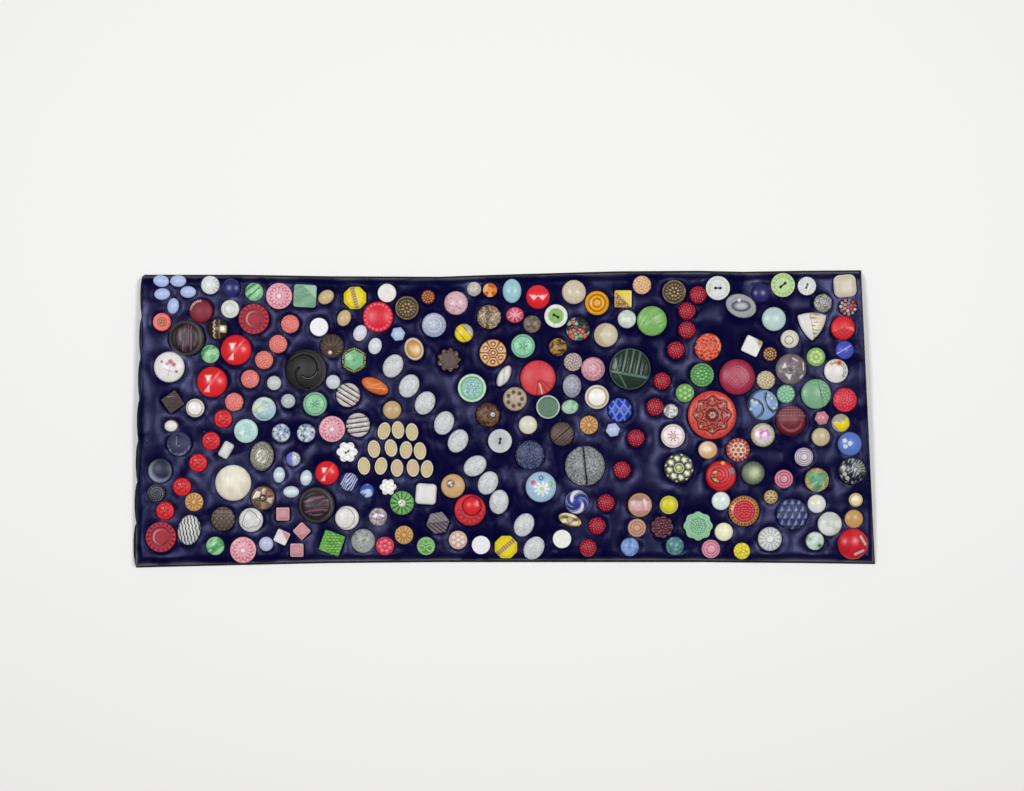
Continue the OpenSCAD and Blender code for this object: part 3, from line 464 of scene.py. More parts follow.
    def flower(
        self,
        u: float,
        v: float,
        size: float,
        petal: str,
        heart: str,
        shares: Sequence[float],
        start: float = 0,
    ) -> Face:
        """Paints five petals about a heart, with spread, petal and heart as shares of the size."""
        spread, radius, middle = (size * share for share in shares)
        for du, dv in around(5, spread, start):
            self.dot(u + du, v + dv, radius, petal)
        return self.dot(u, v, middle, heart)

    def line(self, at: float, width: float, code: str, strength: float = 1) -> Face:
        """Colours a ring that follows the outline."""
        return self.paint(self.ring(at, width) * strength, code)

    def gleam(self, u: float, v: float, radius: float, bite: float, code: str, strength: float = 1) -> Face:
        """Colours a crescent on the side that u and v point to."""
        return self.paint(self.moon(u, v, radius, bite) * strength, code)

    def mottle(self, code: str, strength: float, *clouds: float) -> Face:
        """Colours patches of noise, given as for clouds."""
        return self.paint(self.clouds(*clouds) * strength, code)

    def draw(self, points: Sequence[Place], width: float, code: str, strength: float = 1) -> Face:
        """Colours a line through points."""
        return self.paint(self.stroke(points, width) * strength, code)

    def fill(self, corners: Sequence[Place], code: str, strength: float = 1) -> Face:
        """Colours a patch with straight sides."""
        return self.paint(self.patch(corners) * strength, code)

    def crowns(self, code: str, height: float = 0.4, metal: float | None = None) -> Face:
        """Colours what stands above the general surface."""
        return self.paint(smooth(0.25, 1, self.relief / height), code, metal)

    def gilt(self, amount: float, rough: float = 0.3) -> Face:
        """Gives the whole face a metal lustre."""
        self.metal[:] = amount
        self.rough[:] = rough
        return self

    def sewn(self, gap: float = 0.24, turn: float = 0, thread: str = "1c1a1a") -> Face:
        """Two sewing holes with a bar of thread between them."""
        u, v = polar(gap, math.radians(turn))
        holes = np.maximum(self.spot(u, v, self.HOLE_RADIUS), self.spot(-u, -v, self.HOLE_RADIUS))
        along = np.abs(self.turned(turn)[0])
        bar = self.band(0, 0.1, turn) * (1 - smooth(gap, gap + 0.03, along))
        self.press(holes, -self.HOLE_DEPTH, "0c0b0b", rough=0.7)
        return self.press(bar, self.HOLE_DEPTH, thread, rough=0.8)


Recipe = Callable[[Face], object]


class Finish(Enum):
    """Surface kinds: coat weight, grain scale per metre, grain depth in millimetres, mottle strength."""

    GLASS = (0.0, 900.0, 0.006, 0.10)
    PEARL = (0.0, 500.0, 0.01, 0.08)
    PRESSED = (0.0, 1400.0, 0.05, 0.16)
    SATIN_GLASS = (0.0, 1100.0, 0.02, 0.10)
    LUSTRE = (0.0, 1200.0, 0.02, 0.18)
    CRYSTAL = (0.1, 800.0, 0.004, 0.06)

    def material(self) -> bpy.types.Material:
        """The material of this finish, made once."""
        name = f"{self.name.lower()}_button"
        if name in bpy.data.materials:
            return bpy.data.materials[name]
        coat, scale, depth, mottle = self.value
        shader = Shader(name)
        tint, metal, rough = (
            shader.add("ShaderNodeAttribute", attribute_name=key) for key in ("tint", "metal", "rough")
        )
        clouds = shader.noise(scale * 0.35, 4)
        spread = {"From Min": 0.3, "From Max": 0.7, "To Min": 1 - mottle, "To Max": 1 + mottle * 0.5}
        dark = shader.add("ShaderNodeMapRange", **spread)
        shader.join(clouds.outputs["Fac"], dark.inputs["Value"])
        shade = shader.add("ShaderNodeVectorMath", operation="SCALE")
        shader.join(tint.outputs["Color"], shade.inputs[0])
        shader.join(dark.outputs["Result"], shade.inputs["Scale"])
        shader.join(shade.outputs["Vector"], shader.surface.inputs["Base Color"])
        shader.join(metal.outputs["Fac"], shader.surface.inputs["Metallic"])
        shader.join(rough.outputs["Fac"], shader.surface.inputs["Roughness"])
        shader.bump(shader.noise(scale, 5), depth)
        shader.look({"Specular IOR Level": 0.3, "Coat Weight": coat, "Coat Roughness": 0.12})
        return shader.material


class Shader:
    """A node material in the making."""

    def __init__(self, name: str) -> None:
        self.material = bpy.data.materials.new(name)
        self.material.use_nodes = True
        self.tree = self.material.node_tree
        self.surface = self.tree.nodes["Principled BSDF"]
        self.place = self.add("ShaderNodeTexCoord").outputs["Object"]

    def add(self, kind: str, **settings: object) -> bpy.types.Node:
        """Adds a node, setting its options, or its inputs where a name is an input's."""
        node = self.tree.nodes.new(kind)
        for key, value in settings.items():
            if key in node.inputs:
                node.inputs[key].default_value = value
            else:
                setattr(node, key, value)
        return node

    def join(self, source: bpy.types.NodeSocket, target: bpy.types.NodeSocket) -> None:
        """Links two sockets."""
        self.tree.links.new(source, target)

    def noise(self, scale: float, detail: float = 3) -> bpy.types.Node:
        """A noise texture in the object's own space."""
        node = self.add("ShaderNodeTexNoise", Scale=scale, Detail=detail)
        self.join(self.place, node.inputs["Vector"])
        return node

    def look(self, values: dict[str, object]) -> None:
        """Sets inputs of the surface."""
        for key, value in values.items():
            self.surface.inputs[key].default_value = value

    def work(self, operation: str, *terms: bpy.types.NodeSocket | float) -> bpy.types.NodeSocket:
        """Works out a sum on sockets and numbers."""
        node = self.add("ShaderNodeMath", operation=operation)
        for slot, term in zip(node.inputs, terms):
            if isinstance(term, bpy.types.NodeSocket):
                self.join(term, slot)
            else:
                slot.default_value = term
        return node.outputs[0]

    def shade(self, source: bpy.types.Node, low: Sequence[float], high: Sequence[float]) -> None:
        """Lets a texture run the base colour from low to high."""
        ramp = self.add("ShaderNodeValToRGB")
        for element, colour in zip(ramp.color_ramp.elements, (low, high)):
            element.color = (*colour, 1)
        self.join(source.outputs["Fac"], ramp.inputs["Fac"])
        self.join(ramp.outputs["Color"], self.surface.inputs["Base Color"])

    def lint(
        self, scale: float, colour: Sequence[float], speck: float = 0.035, sparse: float = 0.6
    ) -> None:
        """Scatters sparse pale specks over the base colour."""
        cells = self.add("ShaderNodeTexVoronoi", Scale=scale)
        self.join(self.place, cells.inputs["Vector"])
        near = self.work("LESS_THAN", cells.outputs["Distance"], speck)
        few = self.work("GREATER_THAN", self.noise(40.0, 2).outputs["Fac"], sparse)
        mix = self.add("ShaderNodeMix", data_type="RGBA")
        base = self.surface.inputs["Base Color"]
        self.join(self.work("MULTIPLY", near, few), mix.inputs["Factor"])
        self.join(base.links[0].from_socket, mix.inputs[6])
        mix.inputs[7].default_value = (*colour, 1)
        self.join(mix.outputs[2], base)

    def bump(self, source: bpy.types.Node, depth: float) -> None:
        """Lets a texture roughen the surface, to a depth in millimetres."""
        node = self.add("ShaderNodeBump", Strength=1.0, Distance=depth / MM)
        self.join(source.outputs[0], node.inputs["Height"])
        self.join(node.outputs["Normal"], self.surface.inputs["Normal"])


def placed(name: str, data: bpy.types.ID) -> bpy.types.Object:
    """Makes an object of some data and links it to the scene."""
    obj = bpy.data.objects.new(name, data)
    bpy.context.collection.objects.link(obj)
    return obj


class Sculpt:
    """Gathers grids of points into one closed mesh."""

    LEAST_EDGE = 0.5
    LEAST_HEIGHT = 0.3
    LEAST_ROUGHNESS = 0.3

    def __init__(self) -> None:
        self.points: list[Array] = []
        self.faces: list[Array] = []
        self.marks: list[Array] = []
        self.count = 0

    def add_button(self, face: Face) -> None:
        """Closes a button's face with its wall and underside, and adds it.

        Args:
            face: The finished face.
        """
        seat = face.seat
        angle = face.a[0]
        edge = np.maximum(face.z[-1], self.LEAST_EDGE)
        face.z[-1] = edge
        outline = np.stack([np.cos(angle), np.sin(angle)], 1) * face.rim[:, None]
        # Each level of the wall is a share of the outline and a height
        levels = [(1.0, edge * 0.55), (0.985, np.full_like(edge, 0.15)), (0.94, np.zeros_like(edge))]
        walls = [np.column_stack([outline * k, z]) for k, z in levels]
        top = np.stack([face.x, face.y, np.maximum(face.z, self.LEAST_HEIGHT)], -1)
        rough = np.maximum(face.rough, self.LEAST_ROUGHNESS)
        marks = np.concatenate([face.rgb, face.metal[..., None], rough[..., None]], -1)
        n = len(angle)
        points = np.concatenate([top[0, :1], top[1:].reshape(-1, 3), *walls, [[0, 0, 0]]])
        paint = np.concatenate([marks[0, :1], marks[1:].reshape(-1, 5), *[marks[-1]] * 3, marks[-1, :1]])
        rows = len(top) - 1 + len(walls)
        ring = np.arange(n)
        following = (ring + 1) % n
        start = self.count + 1
        self.faces.append(np.stack([np.full(n, self.count), start + ring, start + following], 1))
        for k in range(rows - 1):
            a, b = start + k * n, start + (k + 1) * n
            self.faces.append(np.stack([a + ring, b + ring, b + following, a + following], 1))
        last = start + (rows - 1) * n
        tip = np.full(n, self.count + len(points) - 1)
        self.faces.append(np.stack([tip, last + following, last + ring], 1))
        self.points.append(points + (seat.x, seat.y, seat.z))
        self.marks.append(paint)
        self.count += len(points)

    def add_sheet(self, x: Array, y: Array, z: Array, base: float) -> None:
        """Adds a grid of heights, closed with walls and a flat underside.

        Args:
            x: Places along the grid.
            y: Places across the grid.
            z: Heights.
            base: Level of the underside.
        """
        nx, ny = x.shape
        top = np.stack([x, y, z], -1).reshape(-1, 3)
        index = np.arange(nx * ny).reshape(nx, ny) + self.count
        quads = [index[:-1, :-1], index[1:, :-1], index[1:, 1:], index[:-1, 1:]]
        self.faces.append(np.stack([q.ravel() for q in quads], 1))
        sides = [index[:, 0], index[-1, 1:], index[-2::-1, -1], index[0, -2:0:-1]]
        border = np.concatenate(sides) - self.count
        foot = top[border].copy()
        foot[:, 2] = base
        n = len(border)
        low = self.count + len(top) + np.arange(n)
        ring = np.roll(np.arange(n), -1)
        self.faces.append(np.stack([border + self.count, low, low[ring], border[ring] + self.count], 1))
        middle = np.array([[x.mean(), y.mean(), base]])
        tip = self.count + len(top) + n
        self.faces.append(np.stack([np.full(n, tip), low[ring], low], 1))
        points = np.concatenate([top, foot, middle])
        self.points.append(points)
        self.count += len(points)

    def build(self, name: str, material: bpy.types.Material, crease: float) -> bpy.types.Object:
        """Makes the mesh object.

        Args:
            name: Name of the piece.
            material: Its material.
            crease: Angle in degrees above which an edge stays sharp.

        Returns:
            The object, in the scene.
        """
        mesh = bpy.data.meshes.new(name)
        faces = [row for block in self.faces for row in block.tolist()]
        mesh.from_pydata((np.concatenate(self.points) / MM).tolist(), [], faces)
        if self.marks:
            marks = np.concatenate(self.marks)
            tint = mesh.color_attributes.new("tint", "FLOAT_COLOR", "POINT")
            tint.data.foreach_set("color", np.column_stack([marks[:, :3], np.ones(len(marks))]).ravel())
            for column, key in ((3, "metal"), (4, "rough")):
                layer = mesh.attributes.new(key, "FLOAT", "POINT")
                layer.data.foreach_set("value", marks[:, column].copy())
        mesh.shade_smooth()
        mesh.set_sharp_from_angle(angle=math.radians(crease))
        mesh.materials.append(material)
        return placed(name, mesh)


@dataclass(frozen=True)
class ButtonFamily:
    """One CAD node of like buttons, dressed as one piece.

    The recipes run over the buttons from left to right.
    They start again where there are fewer recipes than buttons.
    """

    node: str
    finish: Finish
    recipes: Sequence[Recipe]
    crease: float = 38

    def build(self, frame: dict, seed: int) -> bpy.types.Object:
        """Sculpts and paints the buttons of the node.

        Args:
            frame: The loaded frame.
            seed: Start of the family's noise seeds.

        Returns:
            The piece, riding on the card.
        """
        sculpt = Sculpt()
        for k, seat in enumerate(CadNode(frame, self.node).seats()):
            face = Face(seat, seed + k)
            self.recipes[k % len(self.recipes)](face)
            sculpt.add_button(face)
        piece = sculpt.build(f"{self.node}_dressed", self.finish.material(), self.crease)
        settle(piece, self.node)
        log.info("%s: %d buttons", self.node, len(sculpt.points))
        return piece


def settle(piece: bpy.types.Object, node: str) -> None:
    """Lets a piece stand for a CAD node: hides the node and hangs the piece from the root body."""
    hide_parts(node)
    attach(piece, "root")


def recipe(carve: Callable[..., None]) -> Callable[..., Recipe]:
    """Lets a carving be given its settings first and its face later."""
    return lambda *settings, **named: lambda f: carve(f, *settings, **named)


# Recipes that several buttons share


@recipe
def plain(f: Face, code: str, edge: float = 0.5, rough: float = 0.25) -> None:
    """A smooth dome of one colour."""
    f.dome(edge).tint(code, rough)


@recipe
def level(f: Face, code: str, rough: float = 0.2) -> None:
    """A level button of one colour."""
    f.flat().tint(code, rough)


@recipe
def clouded(f: Face, code: str, light: str, scale: float = 3, turn: float = 0, stretch: float = 1) -> None:
    """A dome with paler clouds or streaks."""
    f.dome().tint(code).mottle(light, 1, scale, turn, stretch)


@recipe
def speckled(f: Face, code: str, speck: str, scale: float = 12, low: float = 0.58) -> None:
    """A dome with fine specks."""
    f.dome().tint(code, 0.3).mottle(speck, 1, scale, 0, 1, low, low + 0.06)


@recipe
def ringed(f: Face, code: str, line: str, *rings: float, width: float = 0.08, depth: float = 0.35) -> None:
    """A dome with rings cut round it."""
    f.dome(0.5).tint(code)
    for at in rings:
        mask = f.ring(at, width * 1.6)
        f.press(mask, -depth, line)


@recipe
def pebbly(f: Face, code: str, light: str, dark: str, n: int, by: float = 0.5) -> None:
    """A dome covered with rounded lumps."""
    # painted highlight: the tops of the lumps are coloured lighter
    f.dome(0.5).tint(code).pebbles(n, by).crowns(light, by * 1.3).paint(f.cells(n)[0] * 0.7, dark)


@recipe
def mosaic(f: Face, code: str, *stones: str, n: int = 24, by: float = 0.35) -> None:
    """A dome of small stones in several colours with joints between them."""
    joint, stone = f.cells(n)
    f.dome(0.5).tint(stones[0])
    for k, colour in enumerate(stones[1:], 1):
        f.paint((stone > k / len(stones)).astype(float), colour)
    f.lift(1 - joint, by).paint(joint, code)


@recipe
def petalled(
    f: Face, code: str, light: str, dark: str, n: int, at: float = 0.56, radius: float = 0.3
) -> None:
    """A low button with a ring of round petals and a boss."""
    # painted highlight: the raised petals and boss are coloured lighter
    f.flat(0.62).tint(code).beads([(n, at), (1, 0)], radius, f.h * 0.3).crowns(light, f.h * 0.34)
    # painted shade: the low ground between them is darkened
    f.paint(smooth(0.05, 0.6, f.h * 0.1 - f.relief) * f.inside(0.92) * 0.5, dark)


@recipe
def beaded(
    f: Face, code: str, bead: str, rings: Sequence[tuple[int, float]], radius: float, metal: float = 0
) -> None:
    """A low dome set with rings of small beads."""
    f.dome(0.6).tint(code).beads(rings, radius, 0.6).crowns(bead, 0.5, metal)


@recipe
def spoked(
    f: Face, code: str, dark: str, n: int, width: float, inner: float, outer: float, by: float = -0.6
) -> None:
    """A dome with notches that run out from the middle."""
    f.dome(0.5).tint(code).press(f.spokes(n, width, inner, outer), by, dark)


@recipe
def cut_stone(
    f: Face, code: str, light: str, dark: str, n: int, table: float = 0.4, turn: float = 0
) -> None:
    """A faceted stone whose facets catch the light unevenly."""
    f.facets(n, table, turn).tint(code, 0.25)
    number = np.floor((f.a - math.radians(turn)) / TAU * n + 0.5) % n
    glint = np.random.default_rng(f.seed).random(n)[number.astype(int)]
    slope = smooth(table - 0.02, table + 0.04, f.r)
    f.paint(slope * smooth(0.55, 0.75, glint) * 0.8, light)
    f.paint(slope * smooth(0.55, 0.35, glint) * 0.7, dark)


@recipe
def lacework(f: Face, code: str, gold: str, n: int = 16) -> None:
    """A low button with a beaded edge, dotted rings and a pierced rosette."""
    f.flat(0.7).tint(code, 0.35)
    f.beads([(n * 2, 0.92), (n, 0.62)], 0.085, 0.5).beads([(8, 0.34), (1, 0)], 0.13, 0.5)
    f.lift(f.ring(0.78, 0.08), 0.25).lift(f.ring(0.48, 0.07), 0.25)
    f.crowns(gold, 0.5, 0.2)


@recipe
def striped(f: Face, code: str, stripe: str, turn: float, offsets: Sequence[float], width: float) -> None:
    """A dome with straight stripes."""
    f.dome().tint(code)
    for at in offsets:
        f.paint(f.band(at, width, turn), stripe)


# Recipes of single buttons and of small groups


def bent_facet_red(f: Face) -> None:
    """A scarlet stone cut with one ridge, painted darker beyond it as shade, with painted highlights on two
    flats and along the ridge.
    """
    f.dome(0.4).tint("e02830", 0.32)
    side = f.half(0, 52, 0.02)
    # painted shade: the side beyond the ridge, towards the upper left, is darkened
    f.press(side, 0.25, "c41c26", 0.3)
    # painted highlight: a lighter flat, and a pale line along the ridge
    f.fill(((0.1, 0.05), (0.62, 0.1), (0.3, 0.6)), "ee5a58", 0.4)
    f.draw(((-0.5, -0.66), (0.55, 0.66)), 0.05, "f87c78")
    # painted reflections: two near-white triangles on the flats
    f.fill(((-0.44, 0.44), (0.04, 0.46), (-0.24, 0.04)), "f8d4d0")
    f.fill(((-0.12, -0.14), (-0.5, -0.62), (-0.14, -0.66)), "f4c0bc")


def zigzag_red(f: Face) -> None:
    """A scarlet stone, its upper half painted lighter as light, with painted highlights on flats in a
    zigzag.
    """
    f.dome(0.4).tint("de2230", 0.25)
    # painted light: the upper half is lightened
    f.paint(f.half(0.02, 0) * 0.25, "f0404c")
    # painted highlights: two pale flats and a near-white line along the zigzag
    f.fill(((-0.66, 0.2), (-0.36, -0.2), (-0.06, 0.1)), "f4a8ac")
    f.fill(((0.1, 0.1), (0.4, -0.2), (0.7, 0.2)), "f2a0a6")
    f.draw(((-0.7, 0.2), (-0.36, -0.22), (0.02, 0.12), (0.4, -0.22), (0.74, 0.2)), 0.05, "fbe8e8")


def daisy_red(f: Face) -> None:
    """A crimson button with a rim of short rays round a smooth raised middle."""
    f.plate(0.3, 0.3, 0.75).tint("a00f2a", 0.5)
    rays = f.spokes(18, 0.09, 0.7, 0.97)
    f.press(rays, -0.35, "5c0618", 0.7).line(0.66, 0.06, "6c0a20")
    # painted highlight: a lighter ring just inside the rays
    f.line(0.73, 0.05, "d04c64", 0.5)
    f.lift(f.inside(0.5, 0.05), 0.5).paint(f.inside(0.48), "a4122c")
    f.line(0.36, 0.05, "740c22", 0.8)
    # painted highlight: a pale crescent at the left edge
    f.gleam(-1, 0.2, 0.5, 0.07, "eec0c6", 0.8)
    f.paint(f.spots(18, 0.9, 0.05, 10) * 0.6, "d4566c")


def lace_pink(f: Face) -> None:
    """A pink round with pale petals about its middle and small dots round its edge."""
    f.dome(0.75).tint("cc7284", 0.3)
    for ends in zip(around(14, 0.24), around(14, 0.66)):
        f.lift(f.stroke(ends, 0.17), 0.25).draw(ends, 0.18, "e6a8b4")
    f.line(0.93, 0.14, "e4a4b0").paint(f.spots(14, 0.8, 0.055, 13), "eccad0")
    f.paint(f.spots(14, 0.66, 0.05, 13), "a84a60")
    f.dot(0, 0, 0.2, "f4dede", 0.4).paint(f.spots(7, 0.22, 0.05), "b85c70")


def cube_pink(f: Face) -> None:
    """A pink cube seen from above, with painted shade on its lower side and painted highlights along its
    edges and in its middle.
    """
    f.flat(0.9).tint("c4888c", 0.25)
    # painted shade on the lower side, then a painted highlight along the edges
    f.paint(f.half(0.42, 180) * 0.6, "a86c72").line(0.93, 0.12, "dcaeb0", 0.7)
    # painted highlight: a soft lighter middle
    f.paint(f.spot(0.1, 0.1, 0.4, 0.8) * 0.4, "d8a8aa")


def cube_white(f: Face) -> None:
    """A cube with a white top and a pink side."""
    f.flat(0.9).tint("e4dedd", 0.25)
    # the pink side is the cube's colour; the pale line round the edge is a painted highlight
    f.paint(f.half(0.36, -64), "c88c98").line(0.94, 0.08, "f4f0ef")
    f.paint(f.half(0.5, 26) * 0.5, "c4bcbc")


def rainbow(f: Face) -> None:
    """A dome with an oil lustre of several colours."""
    f.dome().tint("c4d098", 0.12).gilt(0.15, 0.12)
    f.paint(f.inside(0.78, 0.14), "e4d8dc").dot(0.1, 0.1, 0.46, "cc6cb4", 0.5)
    f.paint(f.clouds(5, 30, 2) * f.inside(0.7, 0.2) * 0.6, "f4e4ec")
    f.gleam(-1, 0, 0.9, 0.2, "e4b4a4", 0.6)
    f.paint(f.spokes(16, 0.06, 0.8, 1) * 0.5, "6c7c5c")


@recipe
def eye(f: Face, turn: float) -> None:
    """A dark glass dish that holds a streaked oval stone."""
    f.dome(0.6, 5).tint("1f1d1f", 0.4)
    along, across = f.turned(turn)
    far = np.hypot(along / 0.8, across / 0.6)
    stone = 1 - smooth(0.94, 1.02, far)
    f.lift(bulge(far), 0.6).paint(stone, "231820")
    f.paint(stone * f.clouds(11, turn, 8, 0.45, 0.56), "7c4a64")
    f.paint(stone * f.clouds(15, turn, 10, 0.5, 0.58), "1a1016")
    f.paint(thin(far - 1.04, 0.03, 0.08), "0c0b0c")
    # painted highlights: pale crescents and a pale ring on the rim
    f.gleam(-1, -0.3, 0.98, 0.06, "7c797a", 0.6)
    f.gleam(1, 0.2, 0.88, 0.06, "8a8687", 0.6).line(0.93, 0.05, "565355", 0.5)


@recipe
def octagon(f: Face, turn: float) -> None:
    """A yellow octagon with a ribbed gold stripe."""
    along = f.turned(turn)[0]
    stripe = f.band(0.02, 0.4, turn)
    ribs = smooth(0.1, 0.7, np.cos(along * 27))
    f.facets(8, 0.72, 0, 0.6).tint("e8d41e", 0.3).lift(stripe, -0.15)
    f.paint(stripe, "9c7c3c", 0.0, 0.5).paint(stripe * ribs * 0.7, "dcc48c")


@recipe
def double_striped(f: Face, turn: float) -> None:
    """A pale button with bold dark stripes, each beside a thin one."""
    f.dome(0.6).tint("d8d2d0", 0.3).ripple(5, 0.12)
    for at in (-0.6, -0.2, 0.2, 0.6):
        f.press(f.band(at, 0.12, turn), -0.25, "33262a")
        f.paint(f.band(at + 0.14, 0.04, turn), "6c5c5e")


def spiral_black(f: Face) -> None:
    """A matt black dome carved with a comma that curls to the middle, with painted shade in the groove and
    painted highlights along its edges.
    """
    f.dome(0.4).tint("232122", 0.5).gleam(1, 0.1, 0.98, 0.1, "6c696a", 0.5)
    turns = np.linspace(0, 1, 25)
    curl = [polar(0.86 - 0.52 * k, math.radians(145) - 4.6 * k) for k in turns]
    tail = [polar(0.34 + 0.6 * k, math.radians(162) + 2.1 * k) for k in turns]
    groove = np.maximum(f.stroke(curl, 0.1), f.stroke(tail, 0.1))
    # painted shade: the groove is darkened; painted highlights: pale lines along its edges
    f.press(groove, -0.8, "0a090a", rough=0.6).draw(curl[14:], 0.035, "6c696a")
    f.draw([(u + 0.05, v + 0.06) for u, v in curl[:14]], 0.035, "6c6a6b", 0.5)


def fan_green(f: Face) -> None:
    """A dark green button with leaning ribs over a bar and a sloping base."""
    f.dome(0.55).tint("1c3028", 0.14)
    along = f.turned(78)[1]
    ribs = (0.5 + 0.5 * np.cos(along * 19)) * smooth(-0.26, -0.18, f.v + 0.18 * f.u)
    ribs = ribs * f.band(0, 1.24, 78, 0.1)
    # painted highlight: the crests of the ribs are lightened
    f.press(ribs, 1.0, "42584e", 0.4).paint(smooth(0.75, 1, ribs) * 0.6, "7c8c84")
    bar = thin(f.v + 0.28 + 0.18 * f.u, 0.05, 0.09)
    f.press(bar, 0.6, "5c7468").draw(((-0.5, -0.3), (-0.2, -0.86)), 0.06, "5c7468")
    f.draw(((-0.72, 0.5), (-0.6, -0.2)), 0.08, "6c8478", 0.7)
    f.line(0.97, 0.05, "50645a")


def split_grey(f: Face) -> None:
    """A grey glitter dome split by a dark slot."""
    f.dome().tint("888a8d", 0.4).mottle("b8babc", 1, 26, 0, 1, 0.5, 0.62)
    f.mottle("56585c", 1, 30, 40, 1, 0.5, 0.62)
    slot = f.band(0.0, 0.07, 96)
    f.press(slot, -1.4, "101113").paint(f.band(0.07, 0.05, 96) * 0.5, "5a5c60")


def medallion_red(f: Face) -> None:
    """A large coral-red round, its middle engraved with an eight-pointed mandala in dark lines."""
    f.dome(0.75).tint("d0443a", 0.3)
    wave = np.cos(8 * f.a)
    field = 1 - smooth(-0.02, 0.02, f.t - 0.74 - 0.06 * wave)
    f.paint(field, "b4463e").paint(field * f.clouds(20, 0, 1, 0.46, 0.56) * 0.55, "5c2a22")
    lines = np.zeros_like(f.t)
    for at, swing in ((0.74, 0.06), (0.6, 0.07), (0.42, -0.05), (0.25, 0.0), (0.18, 0.0)):
        lines = np.maximum(lines, thin(f.t - at - swing * wave, 0.012, 0.032))
    petals = f.spots(8, 0.5, 0.1, 22.5)
    f.press(petals, 0.3, "d4463c").paint(f.spots(8, 0.33, 0.05, 0), "c8423a")
    f.press(lines, -0.35, "38160f").paint(f.spots(8, 0.86, 0.035, 22.5), "3c1a14")
    f.paint(f.spots(6, 0.1, 0.04), "c8a088").paint(f.spots(8, 0.66, 0.045, 0), "c8b088")


def fan_red(f: Face) -> None:
    """A scarlet button with fine rays and deeper pleats towards the lower right, with painted shade in the
    troughs and painted highlights on the crests.
    """
    f.dome(0.55).tint("d63e48", 0.42)
    angle = np.arctan2(f.v - 0.05, f.u + 0.05)
    fine = (0.5 + 0.5 * np.cos(angle * 44)) * smooth(0.2, 0.5, f.t) * f.inside(0.96, 0.03)
    # painted highlight: the crests of the fine rays are lightened
    f.press(fine, 0.12, "e8646a", 0.2).paint(f.spokes(22, 0.04, 0.2, 0.95) * 0.35, "a8222e")
    fan = f.wedge(-60, 84, 0.12, 0.97)
    pleats = 0.5 + 0.5 * np.cos(angle * 22)
    # painted shade in the troughs of the pleats, then painted highlights on their crests
    f.lift(fan * pleats, 0.6).paint(fan * (1 - pleats) * 0.6, "a01824")
    f.paint(fan * smooth(0.8, 1, pleats) * 0.4, "f08c8c")
    # painted highlights: white streaks on the pleats
    f.paint(f.spokes(18, 0.06, 0.3, 0.95, -75) * f.wedge(-78, 26, 0.2, 1), "fbe4e0")


def rings_crimson(f: Face) -> None:
    """A smooth crimson button with fine engraved rings about its middle."""
    f.dome(0.6, 3).tint("a02c48", 0.36)
    for at in (0.16, 0.28, 0.42, 0.56):
        swing = at + 0.03 * np.cos(f.a * 4)
        line = thin(f.t - swing, 0.012, 0.035)
        f.press(line, -0.1, "c87084", 0.4)
    f.paint(f.clouds(12, 0, 1, 0.45, 0.6) * f.inside(0.6, 0.1) * 0.25, "c4667c")
    # painted highlight: a faint lighter patch towards the upper left
    f.line(0.88, 0.04, "701a34", 0.5).paint(f.spot(-0.2, 0.25, 0.5, 0.8) * 0.2, "c8647c")


def knob_red(f: Face) -> None:
    """A scarlet plate with a dome set high and scrolls along its lower rim."""
    f.flat(0.5).tint("cc1f2c", 0.5)
    far = f.away(0.12, 0.26) / 0.6
    f.lift(bulge(far), f.h * 0.5).paint(thin(far - 1.02, 0.04, 0.1), "7c0c16")
    f.paint(1 - smooth(0.9, 0.98, far), "de2830", rough=0.32)
    for k in range(7):
        scroll = f.away(*polar(0.7, math.radians(190 + 26 * k))) - 0.17
        f.press(thin(scroll, 0.03, 0.08), 0.12, "8c101c", 0.7)
    # painted highlight: a pale stroke on the right of the dome
    f.draw(((0.44, 0.56), (0.5, 0.3)), 0.12, "f8a8a4", 0.8)


def plate_mint(f: Face) -> None:
    """A mint plate with a pale rim and a wide glittering middle."""
    f.plate(0.2, 0.6).tint("8cc4a0", 0.2).line(0.92, 0.14, "c4e0c8")
    f.line(0.78, 0.05, "5c9c78")
    middle = f.inside(0.64, 0.03)
    f.lift(f.ring(0.66, 0.07), 0.4).line(0.66, 0.05, "b4dcc0").paint(middle, "90c4b0")
    f.paint(middle * f.clouds(15, 0, 1, 0.5, 0.6) * 0.8, "d8ecec")
    f.paint(middle * f.clouds(18, 30, 1, 0.54, 0.64), "5c9488")
    f.paint(middle * f.clouds(20, 70, 1, 0.62, 0.68), "8cb4dc")


def plate_scallop(f: Face) -> None:
    """A pale green button with a soft wavy rim and small pits in its middle."""
    f.plate(0.34, 0.5).tint("86bc94", 0.25).lift(f.ring(0.64, 0.08), 0.35)
    f.line(0.64, 0.06, "b0d8b8")
    for n, at in ((1, 0.0), (6, 0.16), (11, 0.32), (16, 0.48)):
        pits = f.spots(n, at, 0.04, at * 90)
        f.press(pits, -0.3, "3c6c50")
    f.line(0.56, 0.05, "5c9470", 0.7).line(0.97, 0.06, "b8dcc0", 0.6)


